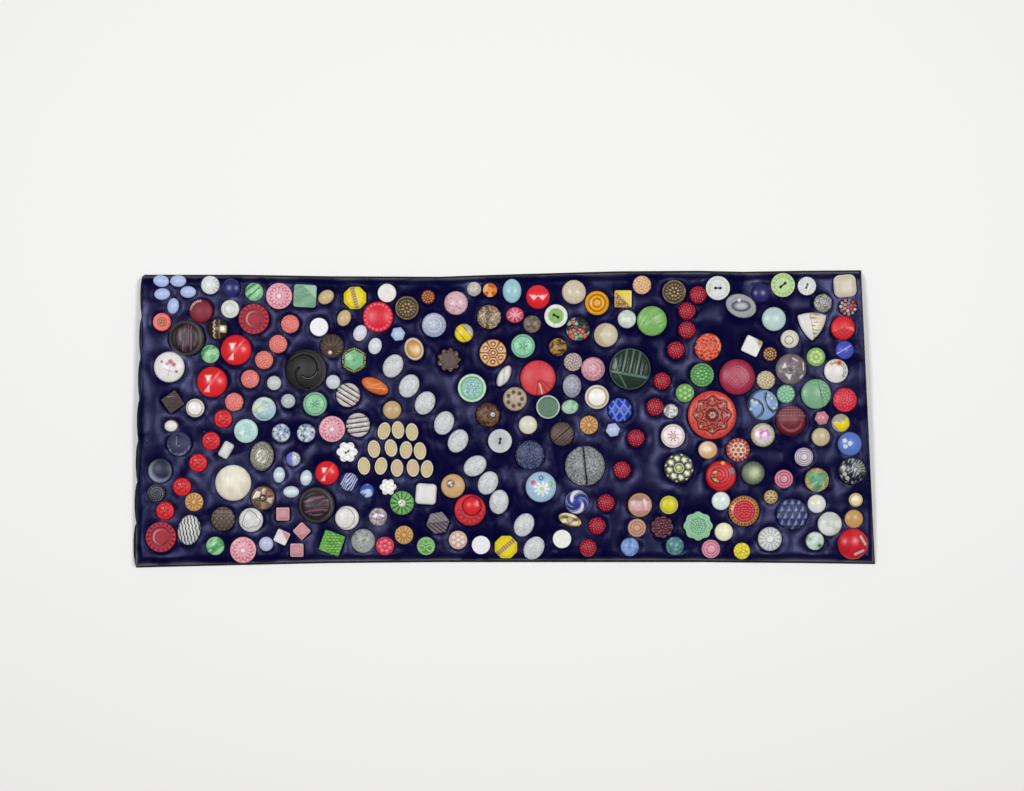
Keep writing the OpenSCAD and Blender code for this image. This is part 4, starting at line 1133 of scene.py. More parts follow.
def turbine(f: Face) -> None:
    """A mauve-grey dome with low curved arms, a small ring and slanted flats that carry painted highlights.
    """
    wave = 0.5 + 0.5 * np.sin(5 * f.a + 4 * f.t)
    f.dome(0.5).tint("7b6f73", 0.3).lift(wave * smooth(0.2, 0.4, f.t) * (1 - smooth(0.85, 0.98, f.t)), 0.5)
    f.paint(smooth(0.25, 0.0, wave) * smooth(0.25, 0.4, f.t) * 0.4, "4c4246")
    f.line(0.13, 0.09, "4c4246")
    # painted highlights: the pale patches and strokes below are glints on the slanted flats
    f.fill(((-0.46, -0.28), (0.0, -0.36), (-0.1, -0.74)), "e2d8d6")
    f.draw(((0.78, 0.42), (0.8, -0.04)), 0.09, "d8cecc")
    f.fill(((-0.62, 0.04), (-0.4, 0.46), (-0.3, 0.1)), "e2d8d6")
    f.draw(((0.1, 0.7), (0.36, 0.54)), 0.1, "d8cecc")
    f.draw(((0.58, -0.56), (0.74, -0.42)), 0.1, "d8cecc")
    f.dot(0, 0, 0.07, "2c2426")


def hexagon_green(f: Face) -> None:
    """A pale green six-sided stone in a dotted rim."""
    f.facets(6, 0.45, 30, 0.5).tint("7cbc8c", 0.1).paint(f.ring(0.9, 0.26), "3a3c20", rough=0.4)
    f.beads([(30, 0.9)], 0.055, 0.35)
    # after the gold dots, painted light and shade: facets towards the upper left are lightened, those
    # towards the upper right darkened
    f.paint(smooth(0.1, 0.3, f.relief), "d4d878").paint(f.wedge(150, 60, 0.1, 0.74) * 0.6, "b4dcbc")
    f.paint(f.wedge(30, 60, 0.1, 0.74) * 0.4, "5c9c70")
    f.fill(((-0.1, -0.1), (0.14, -0.1), (0, 0.2)), "4c8c64")


@recipe
def weave(f: Face, code: str, dark: str, light: str, nu: int = 6) -> None:
    """A brick pattern of raised blocks beside a plain strip."""
    row = np.floor((f.v + 1.5) * nu / 1.4)
    along = (f.u + 1.5) * nu / 2.0 + row % 2 * 0.5
    across = (f.v + 1.5) * nu / 1.4
    gap = np.minimum(np.minimum(along % 1, 1 - along % 1) * 1.4, np.minimum(across % 1, 1 - across % 1))
    block = smooth(0.06, 0.2, gap)
    strip = f.half(0.45, 90)
    f.flat(0.75).tint(dark, 0.3).press(block, 0.4, code)
    f.paint(block * f.clouds(7) * 0.6, light)
    f.paint(strip * 0.7, code)


def square_green(f: Face) -> None:
    """A dull green square with slanting streaks and a pale corner."""
    f.flat(0.85).tint("5f8f70", 0.3).mottle("87b493", 0.5, 5, 24, 5, 0.42, 0.6)
    f.paint(f.half(0.5, -45) * 0.6, "b8d4bc").line(0.94, 0.1, "8cb49a", 0.6)


def square_yellow(f: Face) -> None:
    """A yellow square with a brown glitter corner."""
    corner = f.half(0.0, 135)
    f.flat(0.85).tint("dcc83c", 0.15).paint(f.half(0.2, -60) * 0.5, "e8dc70").paint(corner, "6c4c2c", 0.2)
    f.paint(corner * f.clouds(18, 0, 1, 0.5, 0.58), "d0a868")


def square_white(f: Face) -> None:
    """A white square with a small tan corner."""
    corner = f.half(0.62, -90) * f.half(0.1, 0)
    f.flat(0.85).tint("e4e2df", 0.3).paint(f.half(0.55, -60) * 0.7, "b8b0a4").paint(corner, "9c8258")


@recipe
def pillow(f: Face, code: str, rim: str | None = None) -> None:
    """A soft square, with a faint rim of another colour where one is given."""
    f.dome(0.6, 4).tint(code, 0.35)
    if rim:
        f.line(0.93, 0.1, rim, 0.6)


def triangle_half(f: Face) -> None:
    """A pale triangle, one side ruled with short gold-brown lines."""
    f.dome(0.6, 3).tint("e2e0db", 0.3)
    side = f.half(-0.02, -80, 0.02)
    ticks = smooth(0.35, 0.75, np.sin(f.v * 21 + f.u * 2)) * f.clouds(6, 0, 3, 0.3, 0.5)
    f.paint(side * 0.6, "d8cdb0").paint(side * ticks * (1 - smooth(0.3, 0.75, f.u)), "84683a")
    f.paint(f.band(-0.02, 0.05, -80), "a08c64")


def grey_middle(f: Face) -> None:
    """A pale sew-through button with a soft grey middle."""
    f.plate(0.3, 0.4).tint("c4c8cb", 0.35).paint(f.inside(0.5, 0.2) * 0.5, "a4a9ad")
    f.paint(f.spokes(24, 0.03, 0.5, 0.95) * 0.3, "e4e6e8")
    f.sewn(0.16, 80, "3c3a3a")


def green_middle(f: Face) -> None:
    """A white button with a green middle, a ring of faint ticks and linked holes."""
    f.plate(0.3, 0.5).tint("e6e8e0", 0.36).paint(f.spokes(14, 0.08, 0.72, 0.95) * 0.6, "b8c4a4")
    f.line(0.62, 0.06, "5c8a44")
    f.paint(f.inside(0.6), "84b45e").sewn(0.2, -28)


def thread_white(f: Face) -> None:
    """A pale button with black thread and faint leaves at its sides."""
    f.plate(0.2, 0.4).tint("d8d9d8", 0.2)
    for side in (-1, 1):
        for v in (-0.16, 0.0, 0.16):
            f.dot(0.76 * side, v, 0.09, "c4cc94")
            f.dot(0.66 * side, v * 1.6, 0.06, "a8b488")
    f.sewn(0.2, 0)


def ticked_green(f: Face) -> None:
    """A green button with a ring of ticks and slanting thread."""
    ticks = f.spokes(28, 0.05, 0.72, 0.9)
    f.plate(0.3, 0.5).tint("b4cf90").press(ticks, -0.2, "6c8a4c").sewn(0.24, 40)


def starburst(f: Face) -> None:
    """A clear button cut in a starburst."""
    rays = f.spokes(16, 0.1, 0.2, 0.95)
    f.flat(0.8).tint("c8c8c8", 0.1).press(rays, -0.3, "f4f4f4").sewn(0.2, 70, "6a6a6a")


def stud_rows(f: Face) -> None:
    """A navy button of triangular studs in rows, each painted lighter on its left half as its lit face."""
    pitch = 2.2
    row = np.floor((f.v + 2.1) * pitch)
    along = ((f.u + 2) * pitch + row % 2 * 0.5) % 1
    across = ((f.v + 2.1) * pitch) % 1
    inside = np.clip((1 - across) * 0.5 - np.abs(along - 0.5), 0, 1)
    face = smooth(0.0, 0.06, inside)
    f.dome(0.6).tint("39456e", 0.42).lift(np.minimum(inside * 3, 0.5), 1.2).paint(face * 0.8, "46548a")
    # painted light: the left half of each stud is lightened as its lit face
    f.paint((along < 0.5) * face * 0.8, "8a96c2").paint((1 - face) * 0.6, "1a2142")


def stone_ring(f: Face) -> None:
    """Eight cut stones in dark settings round a yellow-green one."""
    f.flat(0.55).tint("2a2c26", 0.4)
    for k, (u, v) in enumerate((*around(8, 0.64, 0.2), (0, 0))):
        stone = f.spot(u, v, 0.22, 0.06)
        cuts = np.cos(np.arctan2(f.v - v, f.u - u) * 5)
        # painted shade: each stone is darkened on alternate facets
        f.press(stone, 0.6, "c2c8a6" if k % 2 else "a9b184").paint(stone * smooth(0.1, 0.5, cuts), "6c7450")
        # painted highlights: a bright middle and a white glint on each stone
        f.dot(u, v, 0.11, "eef2dc").dot(u - 0.1, v + 0.1, 0.05, "ffffff")
    # the middle stone is yellow, with a pale glint as painted highlight
    f.dot(0, 0, 0.18, "b4bc3c").dot(-0.05, 0.05, 0.07, "f0f4c0")
    f.paint(thin(f.r - 0.3, 0.02, 0.06), "b8bab4").paint(f.spots(8, 0.9, 0.06, 34), "d4d6cc")


def glow(f: Face) -> None:
    """Smoky glass with a pale yellow-green glow and soft rays."""
    f.dome(0.6).tint("566256", 0.4).dot(0.05, -0.05, 0.62, "94a27c", 0.6)
    f.paint(f.spokes(9, 0.16, 0.1, 0.8) * 0.4, "68765c").dot(0.1, 0.0, 0.34, "c6ce98", 0.9)
    f.paint(f.spokes(14, 0.06, 0.78, 1) * 0.6, "343e36").line(0.96, 0.08, "2e3830", 0.6)


def fold_hexagon(f: Face) -> None:
    """A dark six-sided fold with slanting ribs."""
    f.flat(0.7).tint("584e54", 0.36)
    ribs = smooth(0.1, 0.9, np.sin(f.turned(-38)[1] * 21))
    lower = f.half(0.05, 8)
    f.press(ribs, 0.25, "8a7f84", 0.8).paint((1 - ribs) * 0.6, "2c2428")
    f.paint(lower * 0.3, "b4aaac").paint(f.band(0.05, 0.06, 8), "221b1e")


def ribbed_white(f: Face) -> None:
    """A white oval with ribs along its length, painted darker in the grooves and towards both ends as
    shade.
    """
    along, across = (f.u, f.v) if np.ptp(f.x) > np.ptp(f.y) else (f.v, f.u)
    ribs = smooth(0.0, 1.0, np.abs(np.sin(across * 3.6)))
    # painted shade in the grooves between the ribs
    f.dome(0.5).tint("e8e7e2", 0.4).lift(ribs, 0.35).paint((1 - ribs) * 0.6, "a6a49e")
    # painted shade towards both ends
    f.paint(smooth(0.7, 0.95, np.abs(along)) * 0.3, "c4c2bc")


def star_red(f: Face) -> None:
    """A pink-red oval with fine pale rays, painted lighter towards the top as light and darker towards the
    lower right as shade.
    """
    # painted light towards the top, then painted shade towards the lower right
    f.dome(0.5).tint("cc3e58", 0.25).paint(f.wedge(100, 70, 0.1, 0.9) * 0.4, "e88a9a")
    f.paint(f.wedge(-70, 60, 0.1, 0.9) * 0.4, "8c1c34")
    f.paint(f.spokes(8, 0.07, 0.05, 0.86, 20), "f6d0d6").mottle("f0a0b0", 0.25, 9)


def gem_offset(f: Face) -> None:
    """A tan dome with a smoky cut stone set high at its left."""
    f.dome(0.6).tint("cfa878", 0.4)
    stone = f.spot(-0.2, 0.2, 0.3, 0.06)
    turn = np.arctan2(f.v - 0.2, f.u + 0.2)
    f.lift(stone, 0.5).dot(-0.2, 0.2, 0.35, "8c6c48").paint(stone, "a29a90")
    # painted shade on alternate facets of the stone, then two pale glints as painted highlights
    f.paint(stone * smooth(0, 0.4, np.cos(3 * turn)), "5c5248")
    f.dot(-0.26, 0.28, 0.1, "f0ece6").dot(-0.12, 0.12, 0.08, "dcd4ca")


def moonglow(f: Face) -> None:
    """A peach dome with painted highlights: a light spot and a pale crescent."""
    # painted highlights: a light spot and a pale crescent at the upper left
    f.dome().tint("dcae84").dot(-0.15, 0.2, 0.4, "f4e0c8", 0.8)
    f.gleam(-0.6, 0.6, 0.84, 0.1, "f8ece0")


def lattice_gold(f: Face) -> None:
    """A tan round with a pale star of lines and small squares."""
    f.dome(0.5).tint("b5935a", 0.4)
    for k in range(4):
        f.paint(f.band(0.0, 0.1, 22 + 45 * k) * f.inside(0.8) * 0.8, "ecdcae")
    f.dot(0, 0, 0.2, "8c6a34").paint(f.spots(8, 0.62, 0.12), "8a6834")
    f.line(0.93, 0.1, "d4b87c")


def scribbled(f: Face) -> None:
    """A yellow button crossed by grey lines, with a grey corner."""
    f.dome(0.6).tint("f0cf08", 0.15).paint(f.half(0.42, -40), "b4b094")
    for at in (-0.42, 0.36):
        f.paint(f.band(at, 0.12, -50), "8c8a7c").paint(f.band(at, 0.03, -50), "4c4a40")


def starry(f: Face) -> None:
    """A white button with a fine red star of rays and a thin double ring."""
    f.dome(0.7).tint("ece8e6", 0.3).line(0.84, 0.05, "c2566c").line(0.94, 0.04, "d8a0a8", 0.6)
    f.paint(f.spokes(8, 0.06, 0.2, 0.5, 22), "c04c64").paint(f.spots(8, 0.42, 0.05, 22), "c04c64")
    f.paint(thin(f.r - 0.18, 0.02, 0.06), "c04c64").paint(f.spokes(6, 0.05, 0.62, 0.74, 10), "c2566c")
    f.dot(0, 0, 0.05, "b04058")


def swirl_pair(f: Face) -> None:
    """Blue glass with white trails that wind to its middle."""
    f.dome().tint("2c3a90", 0.1)
    wind = f.a + 2.6 * f.t
    trail = smooth(0.55, 0.8, np.sin(wind * 2)) * smooth(0.3, 0.5, f.t)
    fine = smooth(0.75, 0.95, np.sin(wind * 6 + 1)) * smooth(0.4, 0.6, f.t)
    f.paint(trail, "e4e4ea").paint(fine * 0.8, "b8bcd4").line(0.95, 0.08, "a8a498", 0.5)


@recipe
def blossoms(f: Face, code: str, petal: str, heart: str, places: Sequence[Place], size: float) -> None:
    """A dome scattered with small plain flowers."""
    f.dome().tint(code)
    for u, v in places:
        f.flower(u, v, size, petal, heart, (1, 0.7, 0.5))


def ice_oval(f: Face) -> None:
    """A pale blue oval, whiter along its middle."""
    f.dome().tint("c5d8e8").paint(f.band(0, 0.7, 0) * 0.8, "e6eef2")


@recipe
def cream_oval(f: Face, code: str) -> None:
    """A low cream oval inside a thin pale rim."""
    f.flat(0.8).tint(code, 0.4).lift(f.ring(0.88, 0.16), 0.25).mottle("d2c49c", 0.3, 5)
    f.paint(smooth(0.78, 0.86, f.t), "e0d6ba").line(0.77, 0.05, "94845e", 0.6)


@recipe
def gem_ring(f: Face, code: str, ring: str) -> None:
    """A bright stone in a ring of another colour."""
    f.dome(0.5).tint(code, 0.1).lift(f.ring(0.76, 0.2), 0.3).line(0.78, 0.16, ring)
    # painted highlight: a soft white spot on the stone
    f.paint(f.spot(-0.12, 0.12, 0.4, 0.7) * 0.5, "f4f4f4")


def crackled(f: Face) -> None:
    """A white oval with fine streaks and crackle lines."""
    joint = f.cells(30)[0]
    streaks = f.clouds(9, 55, 3, 0.45, 0.6)
    f.dome(0.5).tint("d2d3d6", 0.34).lift(joint, -0.1).paint(streaks * 0.6, "e6e7ea")
    f.mottle("a4a7ac", 0.5, 11, 55, 3, 0.55, 0.66).paint(joint * 0.2, "a8abb0")


def two_tone(f: Face) -> None:
    """A cream dome with a darker arc at its left."""
    f.dome().tint("d6cbb0").gleam(-1, 0, 0.9, 0.5, "c0b292")


def facet_wedge(f: Face) -> None:
    """A pale dome with a cream facet towards the upper left."""
    f.dome().tint("e2e6e2", 0.12)
    f.fill(((-0.2, 0.8), (-0.7, 0.2), (-0.05, 0.1), (0.1, 0.6)), "e8e0b0")


def ring_offset(f: Face) -> None:
    """A pale dome with a grey ring off its middle."""
    ring = thin(f.away(-0.12, -0.12) - 0.45, 0.05, 0.09)
    f.dome().tint("dcdacb").press(ring, -0.15, "9a988c")


@recipe
def crystals(f: Face, code: str, light: str, dark: str) -> None:
    """A stone cut in rings of small facets."""
    joint, stone = f.cells(44)
    # painted light: facets lightened and darkened at random as highlights and shade, with pale facet edges
    # and a pale middle as highlights
    f.dome(0.4).tint(code, 0.08).paint(smooth(0.6, 0.8, stone) * 0.8, light)
    f.paint(smooth(0.36, 0.16, stone), dark)
    f.lift(1 - joint, 0.2).paint(joint * 0.35, light)
    f.line(0.5, 0.06, dark, 0.5).paint(f.inside(0.2) * 0.6, light)


def line_ring(f: Face) -> None:
    """A white dome with an uneven fine dark line."""
    wave = np.abs(f.t - 0.7 - 0.1 * np.cos(f.a * 3 + 1) - 0.03 * np.cos(f.a * 7))
    f.dome(0.6).tint("dcdcd9", 0.3).mottle("c2c4c2", 0.4, 3)
    f.paint(1 - smooth(0.015, 0.05, wave), "7c7268")


def facet_lines(f: Face) -> None:
    """A clear dome with grey facet lines at the right."""
    f.dome().tint("e4e6e8", 0.06)
    f.paint(f.spokes(14, 0.06, 0.5, 0.95) * f.half(0.2, -90), "9aa0a6")


def hatched_red(f: Face) -> None:
    """A red dome with a roof-shaped ridge over fine hatching."""
    f.dome(0.6).tint("d8222c", 0.42)
    roof = f.stroke(((-0.92, -0.28), (0, 0.1), (0.92, -0.28)), 0.07)
    hatch = smooth(0.7, 0.9, np.maximum(np.sin((f.u + f.v) * 17), np.sin((f.u - f.v) * 17)))
    below = 1 - smooth(-0.02, 0.04, f.v - 0.1 + 0.41 * np.abs(f.u))
    f.press(hatch * below, 0.2, "8c0c16", 0.5)
    # painted highlights: a pale line along the roof ridge and a pale flat at the right
    f.paint(roof * 0.7, "ee6a6a")
    f.fill(((0.3, 0.08), (0.9, -0.2), (0.82, 0.06)), "f09a98", 0.7)


def mirror_red(f: Face) -> None:
    """A red dome, painted darker towards the lower left as shade and lighter towards the top as light, with
    two cut strips at the right painted pale as reflections.
    """
    f.dome(0.4).tint("cc1c2c", 0.1)
    # painted shade towards the lower left and painted light towards the top
    f.paint(f.wedge(200, 80, 0, 0.95) * 0.3, "8c0c1c").paint(f.wedge(70, 60, 0, 0.95) * 0.3, "e8404c")
    for ends in (((0.48, 0.5), (0.8, -0.02)), ((0.12, -0.66), (0.64, -0.42))):
        f.lift(f.stroke(ends, 0.24), -0.2).draw(ends, 0.26, "7c1420")
        # painted reflection: the pale strips in the cuts
        f.paint(f.stroke(ends, 0.16), "e6d4d2", 0.4, 0.15)


def meshed_maroon(f: Face) -> None:
    """A maroon dome with a mesh cap over a polished step, painted paler as a reflection."""
    f.dome(0.4).tint("661a28", 0.45)
    cap = f.half(0.24, 0)
    net = smooth(0.2, 0.8, np.cos((f.u + f.v) * 17) * np.cos((f.u - f.v) * 17))
    f.paint(cap, "7a4248").paint(cap * net * 0.7, "b08488")
    # painted reflection: a paler band across the step
    f.paint(f.band(0.12, 0.24) * f.inside(0.84), "843c48")
    # painted reflection: a paler crescent low on the dome, then painted shade along the lower rim
    f.gleam(0.1, -1, 0.72, 0.18, "a05862", 0.8)
    f.gleam(0, -1, 0.94, 0.14, "3c0a14", 0.6)


def centre_pebbles(f: Face) -> None:
    """A coral button with a pebbly tan middle."""
    f.flat(0.8).tint("d4443e", 0.3).line(0.5, 0.08, "b83430")
    middle = f.inside(0.46)
    f.lift((1 - f.cells(40)[0]) * middle, 0.3).paint(middle, "c8805c")
    f.paint(middle * f.cells(40)[0], "9c4438")


def dashed_maroon(f: Face) -> None:
    """A maroon dome with an arc of pale dashes at its upper left, painted highlights on small facets."""
    f.dome(0.6).tint("7a1730", 0.5).paint(f.spot(0.2, -0.2, 0.6, 0.6) * 0.4, "98283f")
    # painted highlights: pale dashes on small facets along the upper left rim
    dashes = f.spokes(40, 0.07, 0.76, 0.94) * f.wedge(130, 90, 0.7, 1)
    f.paint(dashes, "e8d0d0").line(0.97, 0.06, "4c0c1c", 0.6)


def gilt_bands(f: Face) -> None:
    """Dark glass with a beaded gold line and a cream flat."""
    f.dome().tint("2c251e", 0.1).paint(f.band(0.15, 0.5, 90) * 0.5, "5c4a34")
    wavy = thin(f.u + 0.35 - 0.05 * np.cos(f.v * 16), 0.05, 0.1)
    f.press(wavy * f.inside(0.9), 0.3, "d8ccb0", metal=0.3)
    cream = f.patch(((0.2, -0.3), (0.75, -0.35), (0.8, 0.3), (0.25, 0.35)))
    f.paint(cream, "d8cbb2", 0.3, 0.15).paint(f.band(-0.15, 0.1, 90) * f.inside(0.9), "b09050", 0.6)


def sprig(f: Face) -> None:
    """A white dome painted with a loose sprig of small pink flowers."""
    f.dome().tint("ecebe9", 0.12)
    stems = (
        ((-0.05, -0.6), (0.05, -0.1), (0.15, 0.2)),
        ((-0.3, -0.1), (0.0, -0.25)),
        ((0.3, -0.35), (0.05, -0.2)),
    )
    heads = (
        (0.12, 0.34, 0.14), (0.34, 0.16, 0.12), (-0.1, 0.2, 0.1), (-0.45, 0.35, 0.08), (0.5, -0.3, 0.09)
    )
    for stem in stems:
        f.draw(stem, 0.045, "9a8c90", 0.7)
    for u, v, size in heads:
        f.flower(u, v, size, "c8808c", "a04858", (0.8, 0.55, 0.4), u)


def faceted_choc(f: Face) -> None:
    """A dark brown square cut in slanting steps, with one half painted lighter as light and pale painted
    highlights on the step edges and one edge.
    """
    # painted light: the upper left half is lightened
    f.flat(0.85).tint("241819", 0.5).paint(f.half(0, 45) * 0.5, "3c2d30")
    for place in (-0.28, 0.02, 0.32):
        # painted highlights: pale lines on the step edges
        f.lift(f.band(place, 0.06, 35), -0.2).paint(f.band(place, 0.05, 35) * f.half(-0.5, 0), "6c5c5e")
    f.line(0.92, 0.07, "5c4a4c", 0.5)
    # painted highlight: a pale stroke along the upper edge
    f.draw(((-0.5, 0.5), (0.1, 0.62)), 0.06, "a89c9c", 0.7)


def posted(f: Face) -> None:
    """Dark see-through glass with its post showing."""
    f.dome(0.5).tint("34385c", 0.5).line(0.86, 0.1, "4a4e74", 0.5)
    f.mottle("23264a", 0.4, 4, 20, 2)
    post = f.band(0.04, 0.26, 90) * f.half(-0.12, 0) * f.inside(0.8)
    f.paint(post, "1a1b38")
    f.draw(((-0.14, 0.6), (-0.14, -0.1), (0.0, -0.2), (0.1, -0.1)), 0.06, "747898")
    f.paint(f.clouds(6) * f.moon(0, -1, 0.92, 0.2) * 0.8, "9a9eb4")


def dusk_glass(f: Face) -> None:
    """Navy glass with a pale glow at its lower left."""
    f.dome(0.6).tint("14203f", 0.4).paint(f.spot(0.2, 0.2, 0.5, 0.8) * 0.6, "0c1530")
    f.paint(f.moon(-0.8, -0.7, 0.9, 0.3, 0.3) * 0.8, "aab4c8")
    f.gleam(0.9, -0.3, 0.94, 0.1, "7484a4", 0.6).line(0.97, 0.05, "3c4a6c", 0.5)


def fine_zebra(f: Face) -> None:
    """A white oval with fine wavering dark lines."""
    lean = f.u * 24 + f.v * 5
    stripe = 0.5 + 0.5 * np.sin(lean + 0.8 * np.sin(f.v * 14))
    f.dome(0.5).tint("d8dad8", 0.25).lift(stripe, -0.3).paint(smooth(0.5, 0.75, stripe), "3c3c42")


def scaled_brown(f: Face) -> None:
    """A brown button with a band of squares over slanting scales."""
    f.dome(0.6).tint("66564c", 0.35)
    scales = smooth(0.5, 0.85, np.maximum(np.sin((f.u + f.v * 0.7) * 15), np.sin((f.u - f.v * 0.7) * 15)))
    squares = smooth(0.6, 0.85, np.maximum(np.sin(f.u * 17), np.sin(f.v * 17)))
    upper = f.half(0.3, 0)
    net = squares * upper + scales * (1 - upper)
    f.press(net, -0.25, "322822", 0.7).paint(upper * (1 - squares) * 0.3, "9a8878")


@recipe
def circlets(
    f: Face, code: str, line: str, places: Sequence[tuple[float, float, float]], by: float = 0.3
) -> None:
    """A low dome with raised circles, each given by its place and radius."""
    f.dome(0.6).tint(code, 0.25)
    for u, v, radius in places:
        hoop = thin(f.away(u, v) - radius, 0.04, 0.09)
        f.press(hoop, by, line, 0.7)


def fluted_brown(f: Face) -> None:
    """A brown dome with flutes that open from a pale stone near its edge."""
    f.dome(0.5).tint("5e4a3e", 0.3)
    angle = np.arctan2(f.v + 0.5, f.u + 0.1)
    flutes = 0.5 + 0.5 * np.cos(angle * 18)
    f.lift(flutes * f.inside(0.95), 0.5).paint((1 - flutes) * 0.6, "2e221a")
    gem = f.spot(-0.15, -0.55, 0.16)
    f.press(gem, 0.5, "e8d8d0", metal=0.2)


@recipe
def engraved(f: Face, code: str, light: str, dark: str, petals: int = 6) -> None:
    """A round with a plain rim, a fine ring and a small engraved flower."""
    f.dome(0.6).tint(code, 0.2).lift(f.ring(0.8, 0.08), -0.25).line(0.8, 0.06, dark)
    rays = f.spokes(petals, 0.08, 0.08, 0.36)
    f.press(rays, -0.25, dark).line(0.72, 0.06, light, 0.7)
    f.paint(f.spots(petals * 2, 0.55, 0.07, 15) * 0.6, light)


def slit_orange(f: Face) -> None:
    """An orange oval with pale slits along it."""
    f.dome(0.5).tint("d8702f", 0.4)
    for lean, place in ((12, 0.12), (-6, -0.2)):
        slit = f.band(place, 0.06, lean) * f.inside(0.76)
        f.press(slit, -0.1, "f0b48c", 0.8)
    # painted shade along the lower edge and a painted highlight along the upper edge
    f.gleam(0, -1, 0.9, 0.2, "a84c18", 0.5).gleam(0, 1, 0.9, 0.14, "f0a070", 0.4)


def pewter_cameo(f: Face) -> None:
    """A pewter oval with a beaded rim, scrolls and a pale framed middle."""
    f.flat(0.7).tint("6c6a5e").gilt(0.35, 0.4).beads([(40, 0.9), (30, 0.76)], 0.06, 0.4)
    f.crowns("b4b2a4", 0.5).lift(f.ring(0.56, 0.1), 0.4).line(0.56, 0.09, "a8a698")
    middle = f.inside(0.46)
    f.paint(middle, "9a988c", 0.2).paint(middle * f.clouds(5, 60, 2), "cfcdc2")
    f.ripple(9, 0.3)


def copper_bow(f: Face) -> None:
    """A copper knot of folded ribbon with blades that catch the light unevenly."""
    f.flat(0.6).tint("66503f", 0.35)
    blades = (
        (((-0.95, -0.1), (-0.55, 0.62), (-0.2, 0.56), (-0.24, 0.05)), "d2c5b8"),
        (((-0.15, 0.6), (0.1, 0.92), (0.3, 0.76), (0.2, 0.25), (-0.1, 0.28)), "ab9484"),
        (((0.32, 0.7), (0.78, 0.36), (0.62, 0.1), (0.3, 0.2)), "995a3a"),
        (((0.36, 0.04), (0.92, 0.08), (0.7, -0.52), (0.3, -0.3)), "b3a49c"),
        (((-0.2, -0.3), (0.26, -0.36), (0.2, -0.95), (-0.15, -0.95)), "8a6a52"),
        (((-0.74, -0.2), (-0.3, -0.2), (-0.3, -0.76), (-0.62, -0.62)), "54402f"),
    )
    for corners, code in blades:
        f.press(f.patch(corners), 0.5, code, metal=0.25, rough=0.3)
    knot = f.spot(0, 0, 0.2, 0.1)
    f.lift(knot, 0.5).dot(0, 0, 0.3, "2a1d16", 0.1).paint(knot, "7a6252")
    f.dot(-0.05, 0.05, 0.08, "dacec4")


def clear_half(f: Face) -> None:
    """A round that is violet on one side and clear on the other."""
    f.dome().tint("d4d8dc", 0.08).paint(f.half(0.05, 90, 0.04), "7a7ad0")
    # grey clouds in the clear half, and a white spot at the upper right as painted highlight
    f.paint(f.clouds(7) * f.half(0.1, -90) * 0.7, "8c98a8").dot(0.3, 0.3, 0.16, "fafcff")


def lined_navy(f: Face) -> None:
    """Royal blue glass with wavering white lines."""
    f.dome().tint("2a3488", 0.1)
    lean = f.turned(58)[1] + 0.05 * np.sin(f.u * 6)
    for at in (-0.62, -0.36, -0.08, 0.16, 0.42, 0.66):
        f.paint(thin(lean - at, 0.03, 0.07), "dfe2f0")


def pale_shell(f: Face) -> None:
    """A mauve pearl with a flecked middle."""
    f.dome().tint("b4a8b0", 0.15).gilt(0.25, 0.2).mottle("8c7c88", 1, 7, 40, 2)
    f.mottle("ece4e6", 1, 10, 120, 2, 0.55, 0.65)
    f.gleam(-0.5, 0.7, 0.9, 0.2, "e8e0e4", 0.6)


def outlined_white(f: Face) -> None:
    """A white dome with a fine curved line near its right edge."""
    line = thin(np.hypot(f.u + 0.2, f.v) - 0.84, 0.015, 0.05)
    f.dome(0.6).tint("e2e0dc", 0.2).press(line, -0.2, "8c8684")


def speck_edge(f: Face) -> None:
    """A dark mauve flat with a ragged tan-speckled edge."""
    f.flat(0.75).tint("5a4642", 0.45)
    edge = smooth(0.6, 0.74, f.t)
    f.paint(edge * 0.8, "33241f").paint(edge * f.clouds(9, 0, 1, 0.54, 0.62) * 0.8, "96785f")
    f.line(0.62, 0.05, "3c2c2a")


def cell_flower(f: Face) -> None:
    """An orange round of seven cells parted by dark lines, each with a dark flower and a pale dot."""
    places = [(0, 0), *around(6, 0.64, 0.5)]
    far = np.sort([f.away(u, v) for u, v in places], 0)
    joint = np.maximum(1 - smooth(0.03, 0.1, far[1] - far[0]), f.ring(0.98, 0.06))
    f.dome(0.6).tint("e8b676", 0.34).lift(joint, -0.3).paint(f.inside(0.33) * 0.5, "d08a50")
    f.paint(joint, "4c2418")
    for u, v in places:
        f.dot(u, v, 0.19, "7c3424", 0.2).dot(u, v, 0.09, "ecd8cc", 0.2)
        f.dot(u + 0.14, v + 0.1, 0.04, "4c2018").dot(u - 0.14, v + 0.1, 0.04, "4c2018")


def caramel(f: Face) -> None:
    """A cream-rimmed oval with a caramel middle and a painted highlight at one side."""
    f.dome(0.5).tint("e4d2b0", 0.15).paint(f.inside(0.76), "c8945a")
    # painted highlight: a lighter patch at the right of the middle
    f.paint(f.spot(0.25, -0.1, 0.4, 0.8) * f.inside(0.76), "ecd0a0")
    f.line(0.76, 0.05, "8c5c34")


def spoke_gem(f: Face) -> None:
    """A green dome with dark spokes and a bright many-coloured stone."""
    f.dome(0.5).tint("7cb86c", 0.2).press(f.spokes(12, 0.1, 0.34, 0.95), -0.4, "2c5c30")
    f.paint(f.spot(0, 0, 0.26, 0.15), "e4e8e0", 0.2, 0.1)
    for k, code in enumerate(("e8c83c", "e08a3c", "5c9cb8", "f4f4f0")):
        f.dot(*polar(0.13, k * 1.6), 0.09, code)


def specked_navy(f: Face) -> None:
    """A navy dome covered with fine bright specks."""
    specks = f.clouds(34, 20, 1, 0.52, 0.6)
    f.dome(0.6).tint("1a2148", 0.45).press(specks, 0.12, "7480b0", 0.7)
    f.mottle("0d1232", 0.6, 26, 70, 1, 0.56, 0.64).line(0.97, 0.06, "141a3c")


